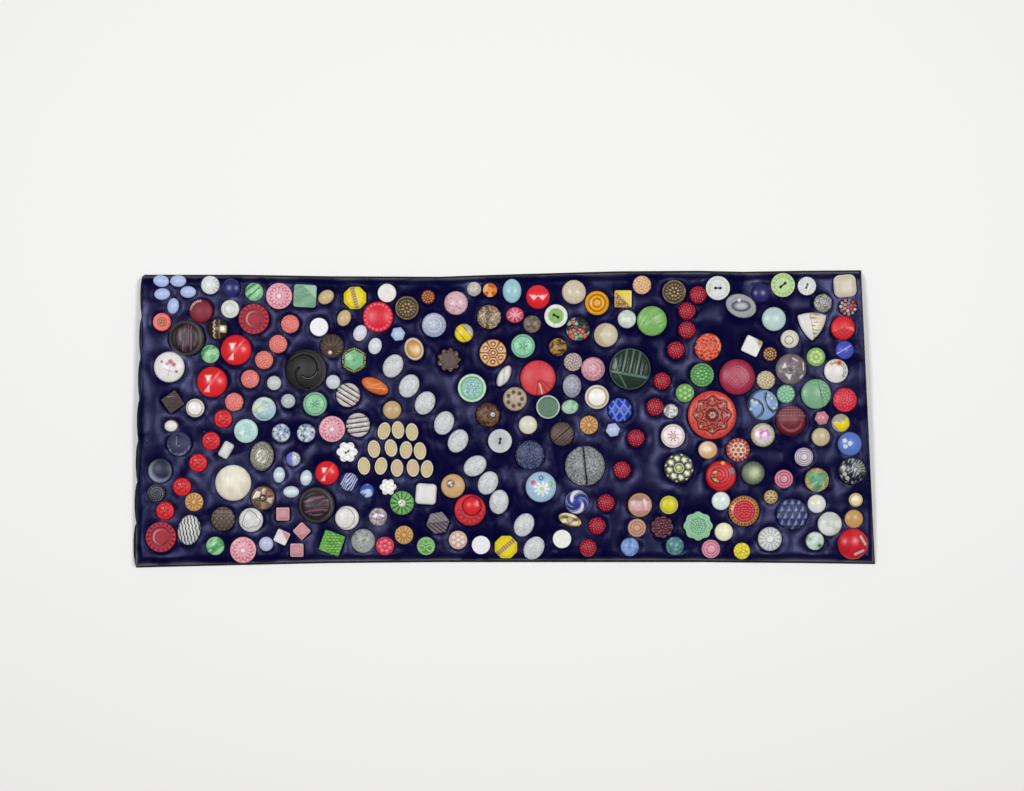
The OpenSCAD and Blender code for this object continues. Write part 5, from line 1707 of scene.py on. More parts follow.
def woven_grey(f: Face) -> None:
    """A dark grey dome with a whorled weave."""
    whorl = smooth(0.35, 0.8, 0.5 + 0.5 * np.sin(f.t * 26 + f.a * 2))
    beads = whorl * smooth(0.2, 0.7, 0.5 + 0.5 * np.sin(f.a * 18 + f.t * 6))
    f.dome(0.5).tint("23252f", 0.42).press(beads, 0.25, "7c7f8e")
    f.line(0.95, 0.06, "3c3e4c")


def seam_brown(f: Face) -> None:
    """A dark brown dome of fine ruled lines, parted by a slanting seam."""
    along, across = f.turned(42)
    upper = f.half(0.0, 42, 0.02)
    ruled = smooth(0.1, 0.7, np.sin(across * 30)) * (1 - upper)
    ruled = ruled + smooth(0.1, 0.7, np.sin(along * 30)) * upper
    f.dome(0.6).tint("4a3a34", 0.42).press(ruled, 0.12, "75625a", 0.7)
    f.press(f.band(0.0, 0.09, 42), -0.3, "241a17")
    f.paint(f.band(0.09, 0.05, 42) * 0.6, "8c786c")


def bouquet(f: Face) -> None:
    """A pale blue dome painted with a plain white daisy and three small flowers."""
    f.dome().tint("a4c4dc", 0.14)
    for u, v in around(9, 1):
        f.draw(((0.05, -0.12), (0.05 + 0.46 * u, -0.12 + 0.42 * v)), 0.15, "eaf0f2")
    f.dot(0.05, -0.12, 0.13, "b8c45c").dot(0.05, -0.12, 0.06, "e8e4a0")
    small = (
        (0.0, 0.6, "5878b4", "e8dca0"), (-0.5, 0.28, "c8405c", "8c2038"), (0.6, 0.2, "86b45c", "d8e0a0")
    )
    for u, v, petal, heart in small:
        f.flower(u, v, 1, petal, heart, (0.11, 0.08, 0.06))


def twisted_gold(f: Face) -> None:
    """A brimmed oval of cream and gold bands that sweep along it about a pearl."""
    sweep = np.sin(f.v * 7 + 1.2 * np.sin(f.u * 2.4))
    f.flat(0.5).tint("cbb98a", 0.34).lift(smooth(0.2, 0.6, sweep), 0.3)
    f.paint(smooth(0.2, 0.6, sweep), "6c5a2c")
    f.paint(smooth(0.2, 0.6, -sweep) * 0.8, "efe8d0").paint(smooth(0.75, 1, np.abs(f.u)) * 0.5, "a88c48")
    boss = np.sqrt(np.clip(1 - (f.u / 0.4) ** 2 - (f.v / 0.42) ** 2, 0, 1))
    f.lift(boss, f.h * 0.5).paint(smooth(0.05, 0.2, boss), "d8c2a4", 0.0, 0.3)


def silver_boat(f: Face) -> None:
    """A silver-grey oval with an inner boat-shaped ring and a pale middle."""
    f.flat(0.6).tint("96969e", 0.4).gleam(0, 1, 0.95, 0.12, "b8b8be", 0.5)
    far = np.hypot(f.u / 1.15, f.v / 0.66)
    ring = thin(far - 0.55, 0.08, 0.14)
    f.lift(1 - smooth(0.4, 0.66, far), f.h * 0.25).paint(ring, "6a6a74")
    f.paint(1 - smooth(0.22, 0.34, far), "b4b4ba")
    # painted highlight: a pale spot; painted shade along the lower edge
    f.dot(-0.15, 0.42, 0.12, "e4e4e8").gleam(0, -1, 0.95, 0.12, "66666e", 0.5)


def gold_petals(f: Face) -> None:
    """A red dome of carved petals, outlined in gold."""
    joint, stone = f.cells(38)
    f.dome(0.5).tint("d6342c", 0.3).lift(1 - joint, 0.35).paint(smooth(0.6, 0.8, stone) * 0.5, "e85c4c")
    f.paint(smooth(0.3, 0.1, stone) * 0.6, "8c1418").paint(smooth(0.5, 0.9, joint) * 0.7, "e0b080")
    f.paint(f.moon(1, 0.2, 0.97, 0.14) * f.clouds(10), "d8b078")


def lattice_flower(f: Face) -> None:
    """A brick-red dome with a cream flower of rings and short rays."""
    f.dome(0.55).tint("a83a34", 0.25)
    lines = np.maximum(f.spokes(16, 0.06, 0.72, 0.95), f.ring(0.66, 0.05))
    for u, v in (*around(6, 0.42), (0, 0)):
        lines = np.maximum(lines, thin(f.away(u, v) - 0.19, 0.03, 0.07))
    f.press(lines, 0.3, "e2c8ae")


def scroll_red(f: Face) -> None:
    """A red round with a rose drawn in one dark curl, two petals and a grey corner."""
    f.dome(0.5).tint("d4232e", 0.42).paint(f.spot(0.2, 0.1, 0.7, 0.6) * 0.5, "e63c44")
    u, v = f.u + 0.16, f.v - 0.06
    curl = np.cos(4.4 * TAU * np.hypot(u, v) - np.arctan2(v, u) + 0.6)
    line = smooth(0.74, 0.94, curl) * f.inside(0.88, 0.1) * smooth(0.1, 0.2, np.hypot(u, v))
    f.press(line, -0.2, "46080f").line(0.95, 0.05, "8c1219", 0.7)
    petals = {
        "d8b25c": ((-0.6, 0.1), (-0.5, 0.36), (-0.2, 0.4), (-0.28, 0.16)),
        "b9ba58": ((-0.66, -0.1), (-0.3, -0.12), (-0.06, -0.42), (-0.46, -0.36)),
    }
    for code, corners in petals.items():
        f.fill(corners, code).draw((*corners, corners[0]), 0.06, "46080f")
    f.dot(0.7, 0.34, 0.2, "8c7c88", 0.2).dot(0.12, 0.86, 0.12, "d0c060", 0.3)


def copper_square(f: Face) -> None:
    """A pink shell lustre in a gold rim, with painted brown shade above and below, a painted reflection
    strip at the right and a painted highlight at the left.
    """
    # painted shade: browner above and below
    f.dome(0.6).tint("d6a8a8", 0.25).paint(f.half(0.34, 0, 0.1) * 0.7, "94643f")
    f.paint(f.half(0.48, 180, 0.1) * 0.6, "a8704c")
    # painted reflection: a pale strip at the right
    f.draw(((0.34, 0.46), (0.5, 0.1), (0.44, -0.3)), 0.16, "eccaca", 0.8)
    f.draw(((0.16, 0.4), (0.26, -0.2)), 0.05, "8c5a48")
    # the gold rim, then a painted highlight: a soft lighter spot at the left
    f.paint(f.ring(0.94, 0.12), "d8b270", 0.2).paint(f.spot(-0.3, 0.0, 0.3, 0.8) * 0.5, "e8c4c8")


def gold_rimmed(f: Face) -> None:
    """Red beads inside a rim of gold lace."""
    f.dome(0.6).tint("a81c2a", 0.2).beads([(1, 0.0), (7, 0.2), (13, 0.4), (19, 0.6)], 0.1, 0.4)
    f.crowns("dc3c48", 0.4)
    rim = smooth(0.7, 0.76, f.t)
    net = f.spokes(34, 0.05, 0.72, 1)
    f.paint(rim, "8c4430").paint(rim * net, "d8ac6c", 0.3).line(0.74, 0.04, "d0a060")
    f.line(0.97, 0.05, "c89858")


def colour_dots(f: Face) -> None:
    """A dark maroon round with dots of several colours."""
    f.dome(0.6).tint("4c2230", 0.2)
    codes = ("d8c4b8", "b84c58", "7c84a8", "d09080", "a89cb0")
    for n, at in ((1, 0.0), (6, 0.42), (11, 0.8)):
        for k, (u, v) in enumerate(around(n, at, at)):
            f.press(f.spot(u, v, 0.16, 0.12), 0.25, codes[(k + n) % 5])


def half_carved(f: Face) -> None:
    """A green dome with fine slanting lines and a carved band at the right."""
    f.dome(0.6).tint("7cae88", 0.22)
    lines = smooth(0.8, 0.98, np.sin(f.turned(38)[1] * 34))
    side = f.half(0.3, -78, 0.02)
    f.paint(lines * (1 - side) * 0.35, "5c8c6a").lift(f.band(-0.3, 0.06, 102), -0.3)
    f.paint(f.band(-0.3, 0.05, 102), "48785a")
    lumps = (1 - f.cells(60)[0]) * side
    # the hollows between the lumps are coloured darker, and their tops lighter as painted highlight
    f.lift(lumps, 0.35).paint(side * f.cells(60)[0] * 0.8, "4c7c5c").paint(lumps * 0.3, "a4d0ac")


def looped_blue(f: Face) -> None:
    """A light blue dome with two dark curves and yellow dots."""
    f.dome().tint("84a6d6", 0.25).gleam(-1, 0.1, 0.99, 0.16, "1e2230")
    left = ((-0.73, 0.45), (-0.36, 0.32), (-0.09, 0.0), (0.0, -0.32), (-0.14, -0.64), (-0.32, -0.77))
    right = ((0.18, 0.76), (0.09, 0.41), (0.18, 0.05), (0.36, -0.23), (0.64, -0.45), (0.9, -0.34))
    for arc in (left, right):
        f.lift(f.stroke(arc, 0.15), -0.2).draw(arc, 0.17, "20242e")
        f.draw([(u - 0.03, v - 0.03) for u, v in arc], 0.04, "8c96a4")
    places = (
        (-0.73, 0.28), (-0.42, 0.16), (-0.8, -0.27), (0.36, 0.64), (0.55, 0.45), (0.72, -0.2), (0.88, 0.05)
    )
    for u, v in places:
        f.dot(u, v, 0.08, "dce08c")


def striped_corner(f: Face) -> None:
    """A dark dome with pale rays at the upper right, scattered flecks and small flowers at the left."""
    f.dome(0.5).tint("1b1d28", 0.3)
    f.paint(f.clouds(12, 60, 3, 0.57, 0.64) * f.inside(0.9), "a8acb8")
    f.paint(f.spokes(26, 0.1, 0.46, 0.97) * f.wedge(28, 80, 0.4, 1), "98a094")
    for u, v in ((-0.6, 0.25), (-0.55, -0.2), (-0.35, -0.5)):
        f.flower(u, v, 1, "c8c4b4", "b8784c", (0.09, 0.06, 0.05))


def gold_edged_green(f: Face) -> None:
    """A three-lobed pool of green glass inside a gold-flecked edge."""
    f.dome(0.6).tint("b89a5c", 0.42).mottle("dcc48c", 1, 11, 0, 1, 0.5, 0.6)
    f.mottle("8c6c34", 1, 12, 50, 1, 0.54, 0.62)
    pool = 1 - smooth(0.0, 0.07, f.r - 0.72 - 0.16 * np.cos(3 * f.a - 1.4))
    f.paint(pool, "5c9c6c").paint(pool * f.clouds(2.5, 60, 2.5) * 0.8, "98c8a4")
    f.paint(pool * f.clouds(3, 20, 3) * 0.7, "447c54")
    f.line(0.97, 0.05, "7c9c6c", 0.6)


def garland(f: Face) -> None:
    """A cream dome with a garland of small flowers along its upper right edge."""
    f.dome(0.6).tint("e4e1da", 0.34)
    for k, petal in enumerate(("b4a090", "8c9a78", "dc6a38", "8c9a78", "9aa4b0", "8c9a78", "7c8ca8")):
        size, heart = (0.24, "9c3010") if k == 2 else (0.15, "e8dcc8")
        f.flower(*polar(0.72, math.radians(122 - 26 * k)), size, petal, heart, (0.55, 0.5, 0.36), k)


def v_yellow(f: Face) -> None:
    """A grey dome with a yellow chevron."""
    f.dome().tint("a8a494", 0.15)
    f.fill(((-0.95, 0.1), (-0.1, -0.9), (0.5, -0.8), (-0.1, 0.1)), "ecd010")
    f.fill(((0.0, -0.9), (0.9, -0.3), (0.7, 0.7), (0.1, 0.0)), "f2d808")


def curved_ridges(f: Face) -> None:
    """A green dome with soft ridges that curve across it."""
    wave = np.sin(f.away(0.9, -0.9) * 15)
    f.dome(0.6).tint("79b05e", 0.3).lift(wave * f.inside(0.9), 0.08)
    # painted highlights: the crests of the ridges on the upper left side, and a soft lighter patch at the
    # upper left
    f.paint(smooth(0.7, 1, wave) * f.half(-0.1, 30, 0.3) * 0.5, "a4d088")
    f.paint(f.spot(-0.4, 0.3, 0.4, 0.8) * 0.2, "94c478")


def diamonds(f: Face) -> None:
    """A royal blue dome cut with a net of tall leaves."""
    bend = 0.3 * f.v**2
    net = np.maximum(np.cos((f.u * 1.5 + f.v + bend) * 6), np.cos((f.u * 1.5 - f.v + bend) * 6))
    line = smooth(0.55, 0.9, net)
    f.dome(0.5).tint("2a3ea8", 0.36).press(line, 0.2, "6a88ea")
    f.paint((1 - line) * 0.4, "16237c")


@recipe
def plain_flower(f: Face, code: str, light: str, dark: str) -> None:
    """A glossy dome lightly carved with a five-petalled flower."""
    f.dome(0.55).tint(code, 0.34)
    lines = f.spokes(5, 0.07, 0.2, 0.74, 18)
    hoop = thin(f.t - 0.72 - 0.07 * np.cos(5 * f.a), 0.02, 0.06)
    groove = np.maximum(lines, hoop)
    # painted highlights: the petals are lightened between the carved lines
    f.press(groove, -0.25, dark, 0.6).paint(f.spots(5, 0.48, 0.14, 54) * 0.35, light)
    f.lift(f.spot(0, 0, 0.16), 0.2).line(0.2, 0.06, dark, 0.6)


def two_holes(f: Face) -> None:
    """Pale green glass with dark settings that show through near its edges."""
    f.dome(0.6).tint("bccfc0", 0.38).mottle("dfeae0", 0.6, 3, 30, 2)
    f.line(0.95, 0.07, "8fa694", 0.6)
    for u, v in ((-0.7, 0.3), (0.5, -0.5)):
        f.dot(u, v, 0.24, "6c7c70", 0.5).dot(u, v, 0.1, "2c342e", 0.3)
    f.gleam(-0.3, 0.9, 0.8, 0.14, "f2f6f0", 0.7)


def bead_rows(f: Face) -> None:
    """A crimson dome covered with rows of tiny pink points."""
    u, v = f.turned(-12)
    row = np.floor(v * 3.6 + 20)
    points = smooth(0.1, 0.7, np.cos((u * 3.2 + row % 2 * 0.5) * TAU))
    points = points * smooth(-0.3, 0.5, -np.cos(v * 3.6 * TAU))
    f.dome(0.5).tint("8c0c22", 0.4).press(points, 0.3, "ea4660")
    f.paint(f.clouds(7) * points * 0.4, "f4909c")


def glitter_dark(f: Face) -> None:
    """A dark dome covered with tiny beads of several colours."""
    f.dome(0.6).tint("26201e", 0.36)
    for k, code in enumerate(("c8b48c", "e8e2d8", "a8583c", "8c7c4c")):
        f.mottle(code, 1, 17 + 2 * k, 40 * k, 1, 0.56, 0.64)
    f.paint(f.band(0.1, 0.3, 90) * 0.4, "120e0d")


@recipe
def clear_round(f: Face, code: str, light: str, dark: str, n: int = 12) -> None:
    """Cut glass: a ring of slim facets round a table, with painted shade along the facet edges and painted
    highlights on the table.
    """
    f.facets(n, 0.6, 0, 0.55).tint(code, 0.34)
    # painted shade on the facet edges and rim; painted highlights on the table's edge, a crescent and the
    # table
    f.paint(f.spokes(n, 0.05, 0.6, 0.96) * 0.8, dark).line(0.6, 0.06, light, 0.8)
    f.line(0.96, 0.06, dark, 0.5)
    f.gleam(-0.6, 0.8, 0.86, 0.2, light, 0.7)
    f.paint(f.spot(-0.06, 0.06, 0.32, 0.4) * 0.8, light)
    f.paint(f.spokes(6, 0.14, 0.1, 0.5) * 0.4, dark)


def gem_brown(f: Face) -> None:
    """A mottled brown dome with a small bright stone at its right."""
    f.dome(0.6).tint("4e3524", 0.42).mottle("7c5636", 1, 5)
    f.mottle("2c1a10", 1, 9, 40, 1, 0.54, 0.64)
    f.lift(f.spot(0.4, 0.05, 0.2), 0.3).dot(0.4, 0.05, 0.24, "2c2420")
    f.dot(0.4, 0.05, 0.18, "d8dadc").dot(0.42, 0.02, 0.07, "5c5854")


def silver_grain(f: Face) -> None:
    """A silver-grey dome of bright and dark grains."""
    f.dome(0.6).tint("8c8a84", 0.4).mottle("dcdad4", 1, 15, 0, 1, 0.52, 0.6)
    f.mottle("2e2c29", 1, 16, 70, 1, 0.54, 0.62)
    f.line(0.95, 0.08, "55534e", 0.5)


def aqua_streaks(f: Face) -> None:
    """Pale blue glass with yellow-green streaks at its upper right."""
    f.dome(0.6).tint("a9c8d2", 0.36).paint(f.moon(-0.6, -0.7, 0.92, 0.3, 0.3) * 0.8, "6f98ac")
    streaks = f.clouds(9, 35, 3, 0.5, 0.58) * f.half(-0.1, 35, 0.3)
    f.paint(streaks, "e4e8b4").line(0.94, 0.07, "dcecec", 0.6)
    f.gleam(-0.5, 0.8, 0.86, 0.1, "eaf4f4", 0.7)


def aqua_facets(f: Face) -> None:
    """Pale green glass with white facets and a light rim painted as highlights, and a darker facet painted
    as shade.
    """
    f.dome(0.6).tint("a8d2cc", 0.36).mottle("c8e6e0", 0.6, 2.5, 60, 2)
    # painted highlight: a light line round the rim
    f.line(0.94, 0.08, "dcf0ee", 0.7)
    # painted reflection: a white facet
    f.fill(((-0.6, -0.1), (-0.2, -0.5), (-0.1, 0.0)), "f0faf8", 0.8)
    f.gleam(0.5, 0.8, 0.84, 0.14, "e8f6f4", 0.7)
    # painted shade: a darker facet
    f.fill(((0.1, -0.2), (0.5, -0.4), (0.4, 0.1)), "84b8b2", 0.6)


def star_white(f: Face) -> None:
    """A white round pressed with a star of fine rays."""
    # painted shade darkens the pressed rays, and painted highlights lighten a line beside each ray and the
    # middle
    f.dome(0.5).tint("cfd2d0", 0.4).press(f.spokes(14, 0.1, 0.3, 0.94), -0.3, "94999a", 0.6)
    f.paint(f.spokes(14, 0.09, 0.34, 0.9, 13) * 0.9, "f4f5f4").paint(f.inside(0.26, 0.1), "eef0ee")
    f.line(0.3, 0.05, "989d9c", 0.6)
    f.mottle("a8acaa", 0.25, 8).line(0.96, 0.07, "a4a8a6", 0.5)


def sewn_flower(f: Face) -> None:
    """A white flower with two holes and grey thread."""
    petalled("f0eeea", "ffffff", "b4b0a8", 6, 0.6, 0.32)(f)
    f.sewn(0.16, 30, "7c7870")


def gold_rim(f: Face) -> None:
    """A white dome in a gold rim."""
    f.dome(0.5).tint("ece8e4").paint(f.ring(0.92, 0.12), "c8ac6c", 0.6)


def silver_rim(f: Face) -> None:
    """A sunken green plate in a silver rim."""
    f.plate(0.2, 0.5).tint("5c7c68").paint(f.ring(0.93, 0.12), "b4bab4", 0.2, 0.4)


def pitted_tan(f: Face) -> None:
    """A tan dome with a ring of dark spots and shallow pits."""
    f.dome().tint("b8a890").lift(f.spots(6, 0.6, 0.18), -0.4).paint(f.spots(7, 0.6, 0.17), "5c5248")


def oval_families() -> list[ButtonFamily]:
    """The runs of small ovals."""
    creams = tuple(cream_oval(code) for code in ("c8b98a", "cdb092", "c8b98a", "c4b486"))
    return [
        ButtonFamily("pale_blue_oval_buttons", Finish.GLASS, (plain("b4c4ec"),) * 5 + (ice_oval,) * 3),
        ButtonFamily("tan_oval_buttons", Finish.GLASS, (plain("cdb48a"),)),
        ButtonFamily("white_oval_buttons", Finish.GLASS, (plain("dcdce6"),)),
        ButtonFamily("crackle_oval_buttons", Finish.PRESSED, (crackled,)),
        ButtonFamily("cream_oval_buttons", Finish.PEARL, creams),
    ]


def red_families() -> list[ButtonFamily]:
    """The red buttons."""
    carved_reds = (
        centre_pebbles,
        dashed_maroon,
        beaded("dc2038", "f06a78", ((20, 0.86),), 0.1),
        petalled("d03048", "e87888", "7c1020", 7),
        gold_petals,
        scroll_red,
        lattice_flower,
        gold_rimmed,
        pebbly("d41c34", "e84a5c", "a01024", 54, 0.2),
    )
    return [
        ButtonFamily(
            "coral_flower_buttons", Finish.PRESSED, (pebbly("e66a66", "f0948a", "b84a48", 44, 0.25),)
        ),
        ButtonFamily("red_flower_buttons", Finish.PRESSED, (plain_flower("d4242e", "e64850", "a41420"),)),
        ButtonFamily("red_bead_buttons", Finish.PRESSED, (bead_rows,)),
        ButtonFamily("red_facet_buttons", Finish.CRYSTAL, (bent_facet_red,) * 3 + (zigzag_red,)),
        ButtonFamily("red_daisy_buttons", Finish.GLASS, (daisy_red,)),
        ButtonFamily("red_medallion_button", Finish.PRESSED, (medallion_red,)),
        ButtonFamily("red_fan_button", Finish.GLASS, (fan_red,)),
        ButtonFamily("crimson_ring_button", Finish.GLASS, (rings_crimson,)),
        ButtonFamily("red_knob_button", Finish.GLASS, (knob_red,)),
        ButtonFamily("carved_red_buttons", Finish.PRESSED, carved_reds),
        ButtonFamily("cut_red_buttons", Finish.SATIN_GLASS, (meshed_maroon, hatched_red, mirror_red)),
    ]


def white_families() -> list[ButtonFamily]:
    """The white, pearl and cream buttons."""
    whites = (
        ringed("dfe3dc", "c4c8c0", 0.6, depth=0.12),
        plain("c9cdd0"),
        plain("b9bfbf"),
        level("eef0f6"),
        plain("cdd3d8"),
        level("e9e4e0"),
        speckled("cfcac2", "8c857a"),
        level("eceef2"),
        plain("dcd8c4"),
        level("eeeeea"),
        clouded("c9d4cc", "e0e8e0", 2),
        plain("e2ebe8"),
        clouded("ecebd2", "f6f2c8", 2),
        ring_offset,
        facet_wedge,
    )
    pearls = (
        gem_ring("eceef0", "cbb98c"),
        facet_lines,
        line_ring,
        clear_round("aab4ca", "dfe6f2", "7c88a4", 16),
        gem_ring("f0eeea", "c4a878"),
        clouded("ccd0c8", "e6e8e2", 2),
    )
    creams = (
        clouded("e2dac8", "eeead8", 4, 90, 6),
        speckled("d8cbb4", "ccbb9c"),
        two_tone,
        pebbly("dba878", "ecc8a0", "b07c4c", 30, 0.3),
        plain("bcd3d3"),
        garland,
    )
    oblongs = (
        gold_rim,
        fine_zebra,
        pewter_cameo,
        slit_orange,
        caramel,
        ribbed_white,
        plain("9cc8d4"),
        star_red,
        clouded("8cbc9c", "b4d8bc", 3),
        clear_round("9a96a8", "c8c6d4", "6c6880", 10),
    )
    return [
        ButtonFamily("white_dome_buttons", Finish.GLASS, whites),
        ButtonFamily("pearl_dome_buttons", Finish.PEARL, pearls, 16),
        ButtonFamily("cream_dome_buttons", Finish.PEARL, creams),
        ButtonFamily("striped_white_buttons", Finish.PRESSED, (double_striped(-32), double_striped(8))),
        ButtonFamily(
            "pillow_buttons", Finish.PEARL, (pillow("d4d6d4"), pillow("e4e2e0"), pillow("cdc4b2", "e4dccf"))
        ),
        ButtonFamily("triangle_button", Finish.PEARL, (triangle_half,)),
        ButtonFamily("carved_white_buttons", Finish.PRESSED, (outlined_white, star_white, two_holes)),
        ButtonFamily("oblong_buttons", Finish.GLASS, oblongs),
    ]


def colour_families() -> list[ButtonFamily]:
    """The blue, green, yellow, pink, tan and brown buttons."""
    flowers_left = ((-0.45, 0.3), (-0.4, -0.2), (-0.05, 0.05))
    blues = (
        plain("2a2b6e"),
        plain("c0c4e4"),
        clear_half,
        lined_navy,
        clouded("3f5aae", "c4d2f0", 2.5, 40, 3),
        swirl_pair,
        clouded("6688c8", "8ca8dc"),
        plain("2c2a68"),
        striped("4a54b8", "c8d0f0", 30, (0.1,), 0.06),
        blossoms("5c7cc8", "d4dcf0", "e0cc58", flowers_left, 0.12),
    )
    greens = (
        engraved("86c49a", "b4e0c0", "4c8c64"),
        circlets(
            "5c9a48", "b0d49c", ((0.0, 0.5, 0.3), (-0.45, -0.2, 0.3), (0.42, -0.25, 0.32), (0.0, 0.0, 0.9))
        ),
        engraved("84c8a0", "c0e8d0", "4c946c", 5),
        silver_rim,
        curved_ridges,
        petalled("74a858", "a8d088", "44703c", 6),
        lacework("467f42", "86c67c", 12),
        glow,
        beaded("74b088", "b8e0c4", ((12, 0.78), (7, 0.46), (1, 0.0)), 0.13),
        petalled("90b860", "c8e098", "587c34", 8),
        half_carved,
    )
    browns = (
        scaled_brown,
        fluted_brown,
        gem_brown,
        clouded("64574b", "8c7c6c", 4),
        clouded("4c3420", "b48a4c", 5),
        seam_brown,
    )
    yellows = (
        scribbled,
        cut_stone("f08a3a", "fcc890", "b85818", 8),
        ringed("eea820", "a8680c", 0.36, 0.7),
        ringed("d6ce24", "bcb476", 0.84),
        v_yellow,
    )
    pinks = (
        speckled("e0bcc4", "c88c9c"),
        clear_round("cc8e9c", "efc8d0", "9c606e", 14),
        ringed("e49aac", "b8687c", 0.5, 0.8),
        ringed("dc8ca0", "a85c70", 0.45, 0.75),
        ringed("d8ccd8", "a498a4", 0.4, 0.65, 0.88),
    )
    grains = (
        speckled("a9adab", "7c807e", 9),
        beaded("84301f", "dca466", ((1, 0.0), (6, 0.36), (12, 0.72)), 0.13),
        glitter_dark,
        pitted_tan,
        pebbly("9c8a86", "ccbeb8", "54443f", 36, 0.3),
        mosaic("161616", "2e2e2e", "5c5c5c", "e06a5c", "8cbca0", n=28),
        speckled("4a7a80", "88b4b8", 10),
        pebbly("b8a880", "d8ccac", "8c7c58", 30, 0.3),
        silver_grain,
        colour_dots,
    )
    tans = (
        plain("c4a878"),
        gem_offset,
        petalled("d4b8a8", "ecd8cc", "a08474", 6),
        ringed("cda088", "a0745c", 0.4, 0.7),
        moonglow,
        lattice_gold,
        plain("c4b890"),
        plain("c49a60"),
        gem_ring("ecdca8", "cbb078"),
    )
    return [
        ButtonFamily("blue_dome_buttons", Finish.GLASS, blues),
        ButtonFamily("navy_glass_buttons", Finish.GLASS, (dusk_glass, posted)),
        ButtonFamily("mesh_buttons", Finish.GLASS, (woven_grey, specked_navy, diamonds)),
        ButtonFamily("navy_pyramid_button", Finish.GLASS, (stud_rows,), 25),
        ButtonFamily(
            "hexagon_buttons",
            Finish.CRYSTAL,
            (hexagon_green, plain("b8c8ea"), plain("b8c8ea"), plain("c98892")),
            16,
        ),
        ButtonFamily("lustre_dome_buttons", Finish.LUSTRE, (aqua_facets, aqua_streaks, rainbow)),
        ButtonFamily("carved_green_buttons", Finish.PRESSED, greens),
        ButtonFamily("green_swirl_buttons", Finish.GLASS, (clouded("4f9a5c", "9fd4a4", 3, 40, 4),)),
        ButtonFamily("green_plate_buttons", Finish.PRESSED, (plate_mint, plate_scallop)),
        ButtonFamily("green_fan_button", Finish.GLASS, (fan_green,)),
        ButtonFamily("green_spoke_button", Finish.PRESSED, (spoke_gem,)),
        ButtonFamily("basket_square_button", Finish.PRESSED, (weave("68b04a", "36702c", "a0d67c"),)),
        ButtonFamily("yellow_octagon_buttons", Finish.GLASS, (octagon(104), octagon(40)), 20),
        ButtonFamily("yellow_round_buttons", Finish.GLASS, yellows, 18),
        ButtonFamily("pink_round_buttons", Finish.GLASS, pinks, 20),
        ButtonFamily("pink_lace_buttons", Finish.PRESSED, (lace_pink,)),
        ButtonFamily(
            "pink_cube_buttons", Finish.CRYSTAL, (cube_white, cube_pink, cube_pink, cube_pink), 20
        ),
        ButtonFamily(
            "tan_spoke_buttons", Finish.PRESSED, (spoked("d9aa6c", "a87840", 12, 0.1, 0.24, 0.95),)
        ),
        ButtonFamily("tan_round_buttons", Finish.PEARL, tans),
        ButtonFamily("carved_brown_buttons", Finish.PRESSED, browns),
        ButtonFamily("grain_buttons", Finish.PRESSED, grains),
    ]


def fancy_families() -> list[ButtonFamily]:
    """Crystal, metal, dark and painted buttons, and those with unusual outlines."""
    crystal = crystals("9caec6", "e8eef8", "5c6e8c")
    painted = (sprig, cell_flower, bouquet, starry, looped_blue, gold_edged_green, striped_corner)
    lustres = (gilt_bands, copper_bow, pale_shell, fold_hexagon, copper_square)
    lace = lacework("241c16", "b09468")
    return [
        ButtonFamily(
            "crystal_buttons",
            Finish.CRYSTAL,
            (
                crystal,
                crystal,
                crystals("c4c8c2", "f4f6f2", "8c908a"),
                beaded("6c2e16", "dcbc84", ((1, 0.0), (6, 0.38), (12, 0.78)), 0.15, 0.2),
            ),
            24,
        ),
        ButtonFamily("crystal_ring_button", Finish.CRYSTAL, (stone_ring,)),
        ButtonFamily("oval_eye_buttons", Finish.GLASS, (eye(90), eye(8))),
        ButtonFamily("black_spiral_button", Finish.SATIN_GLASS, (spiral_black,)),
        ButtonFamily("split_grey_button", Finish.PRESSED, (split_grey,)),
        ButtonFamily("mauve_turbine_button", Finish.GLASS, (turbine,)),
        ButtonFamily("lace_buttons", Finish.LUSTRE, (lace, speck_edge, lacework("35121c", "84485a"), lace)),
        ButtonFamily("saturn_buttons", Finish.LUSTRE, (twisted_gold, silver_boat)),
        ButtonFamily("metal_lustre_buttons", Finish.LUSTRE, lustres),
        ButtonFamily(
            "square_buttons",
            Finish.GLASS,
            (faceted_choc, square_green, square_yellow, square_white),
            16,
        ),
        ButtonFamily(
            "sew_through_buttons",
            Finish.PRESSED,
            (grey_middle, green_middle, thread_white, ticked_green, starburst),
        ),
        ButtonFamily(
            "flower_buttons",
            Finish.PRESSED,
            (
                sewn_flower,
                petalled("f0eeea", "ffffff", "b4b0a8", 6, 0.6, 0.34),
                pebbly("e6cc14", "f6ea5c", "b49a10", 18),
            ),
        ),
        ButtonFamily("painted_buttons", Finish.GLASS, painted),
    ]


@dataclass(frozen=True)
class Pillow:
    """The puffed surface of the pad over a millimetre grid."""

    low: Array
    pitch: float
    height: Array

    def at(self, x: Array, y: Array) -> Array:
        """Height at each place, between the grid's points."""
        fx = np.clip((x - self.low[0]) / self.pitch, 0, self.height.shape[0] - 1.001)
        fy = np.clip((y - self.low[1]) / self.pitch, 0, self.height.shape[1] - 1.001)
        i, j = fx.astype(int), fy.astype(int)
        fx, fy = fx - i, fy - j
        h = self.height
        near = h[i, j] * (1 - fx) + h[i + 1, j] * fx
        far = h[i, j + 1] * (1 - fx) + h[i + 1, j + 1] * fx
        return near * (1 - fy) + far * fy


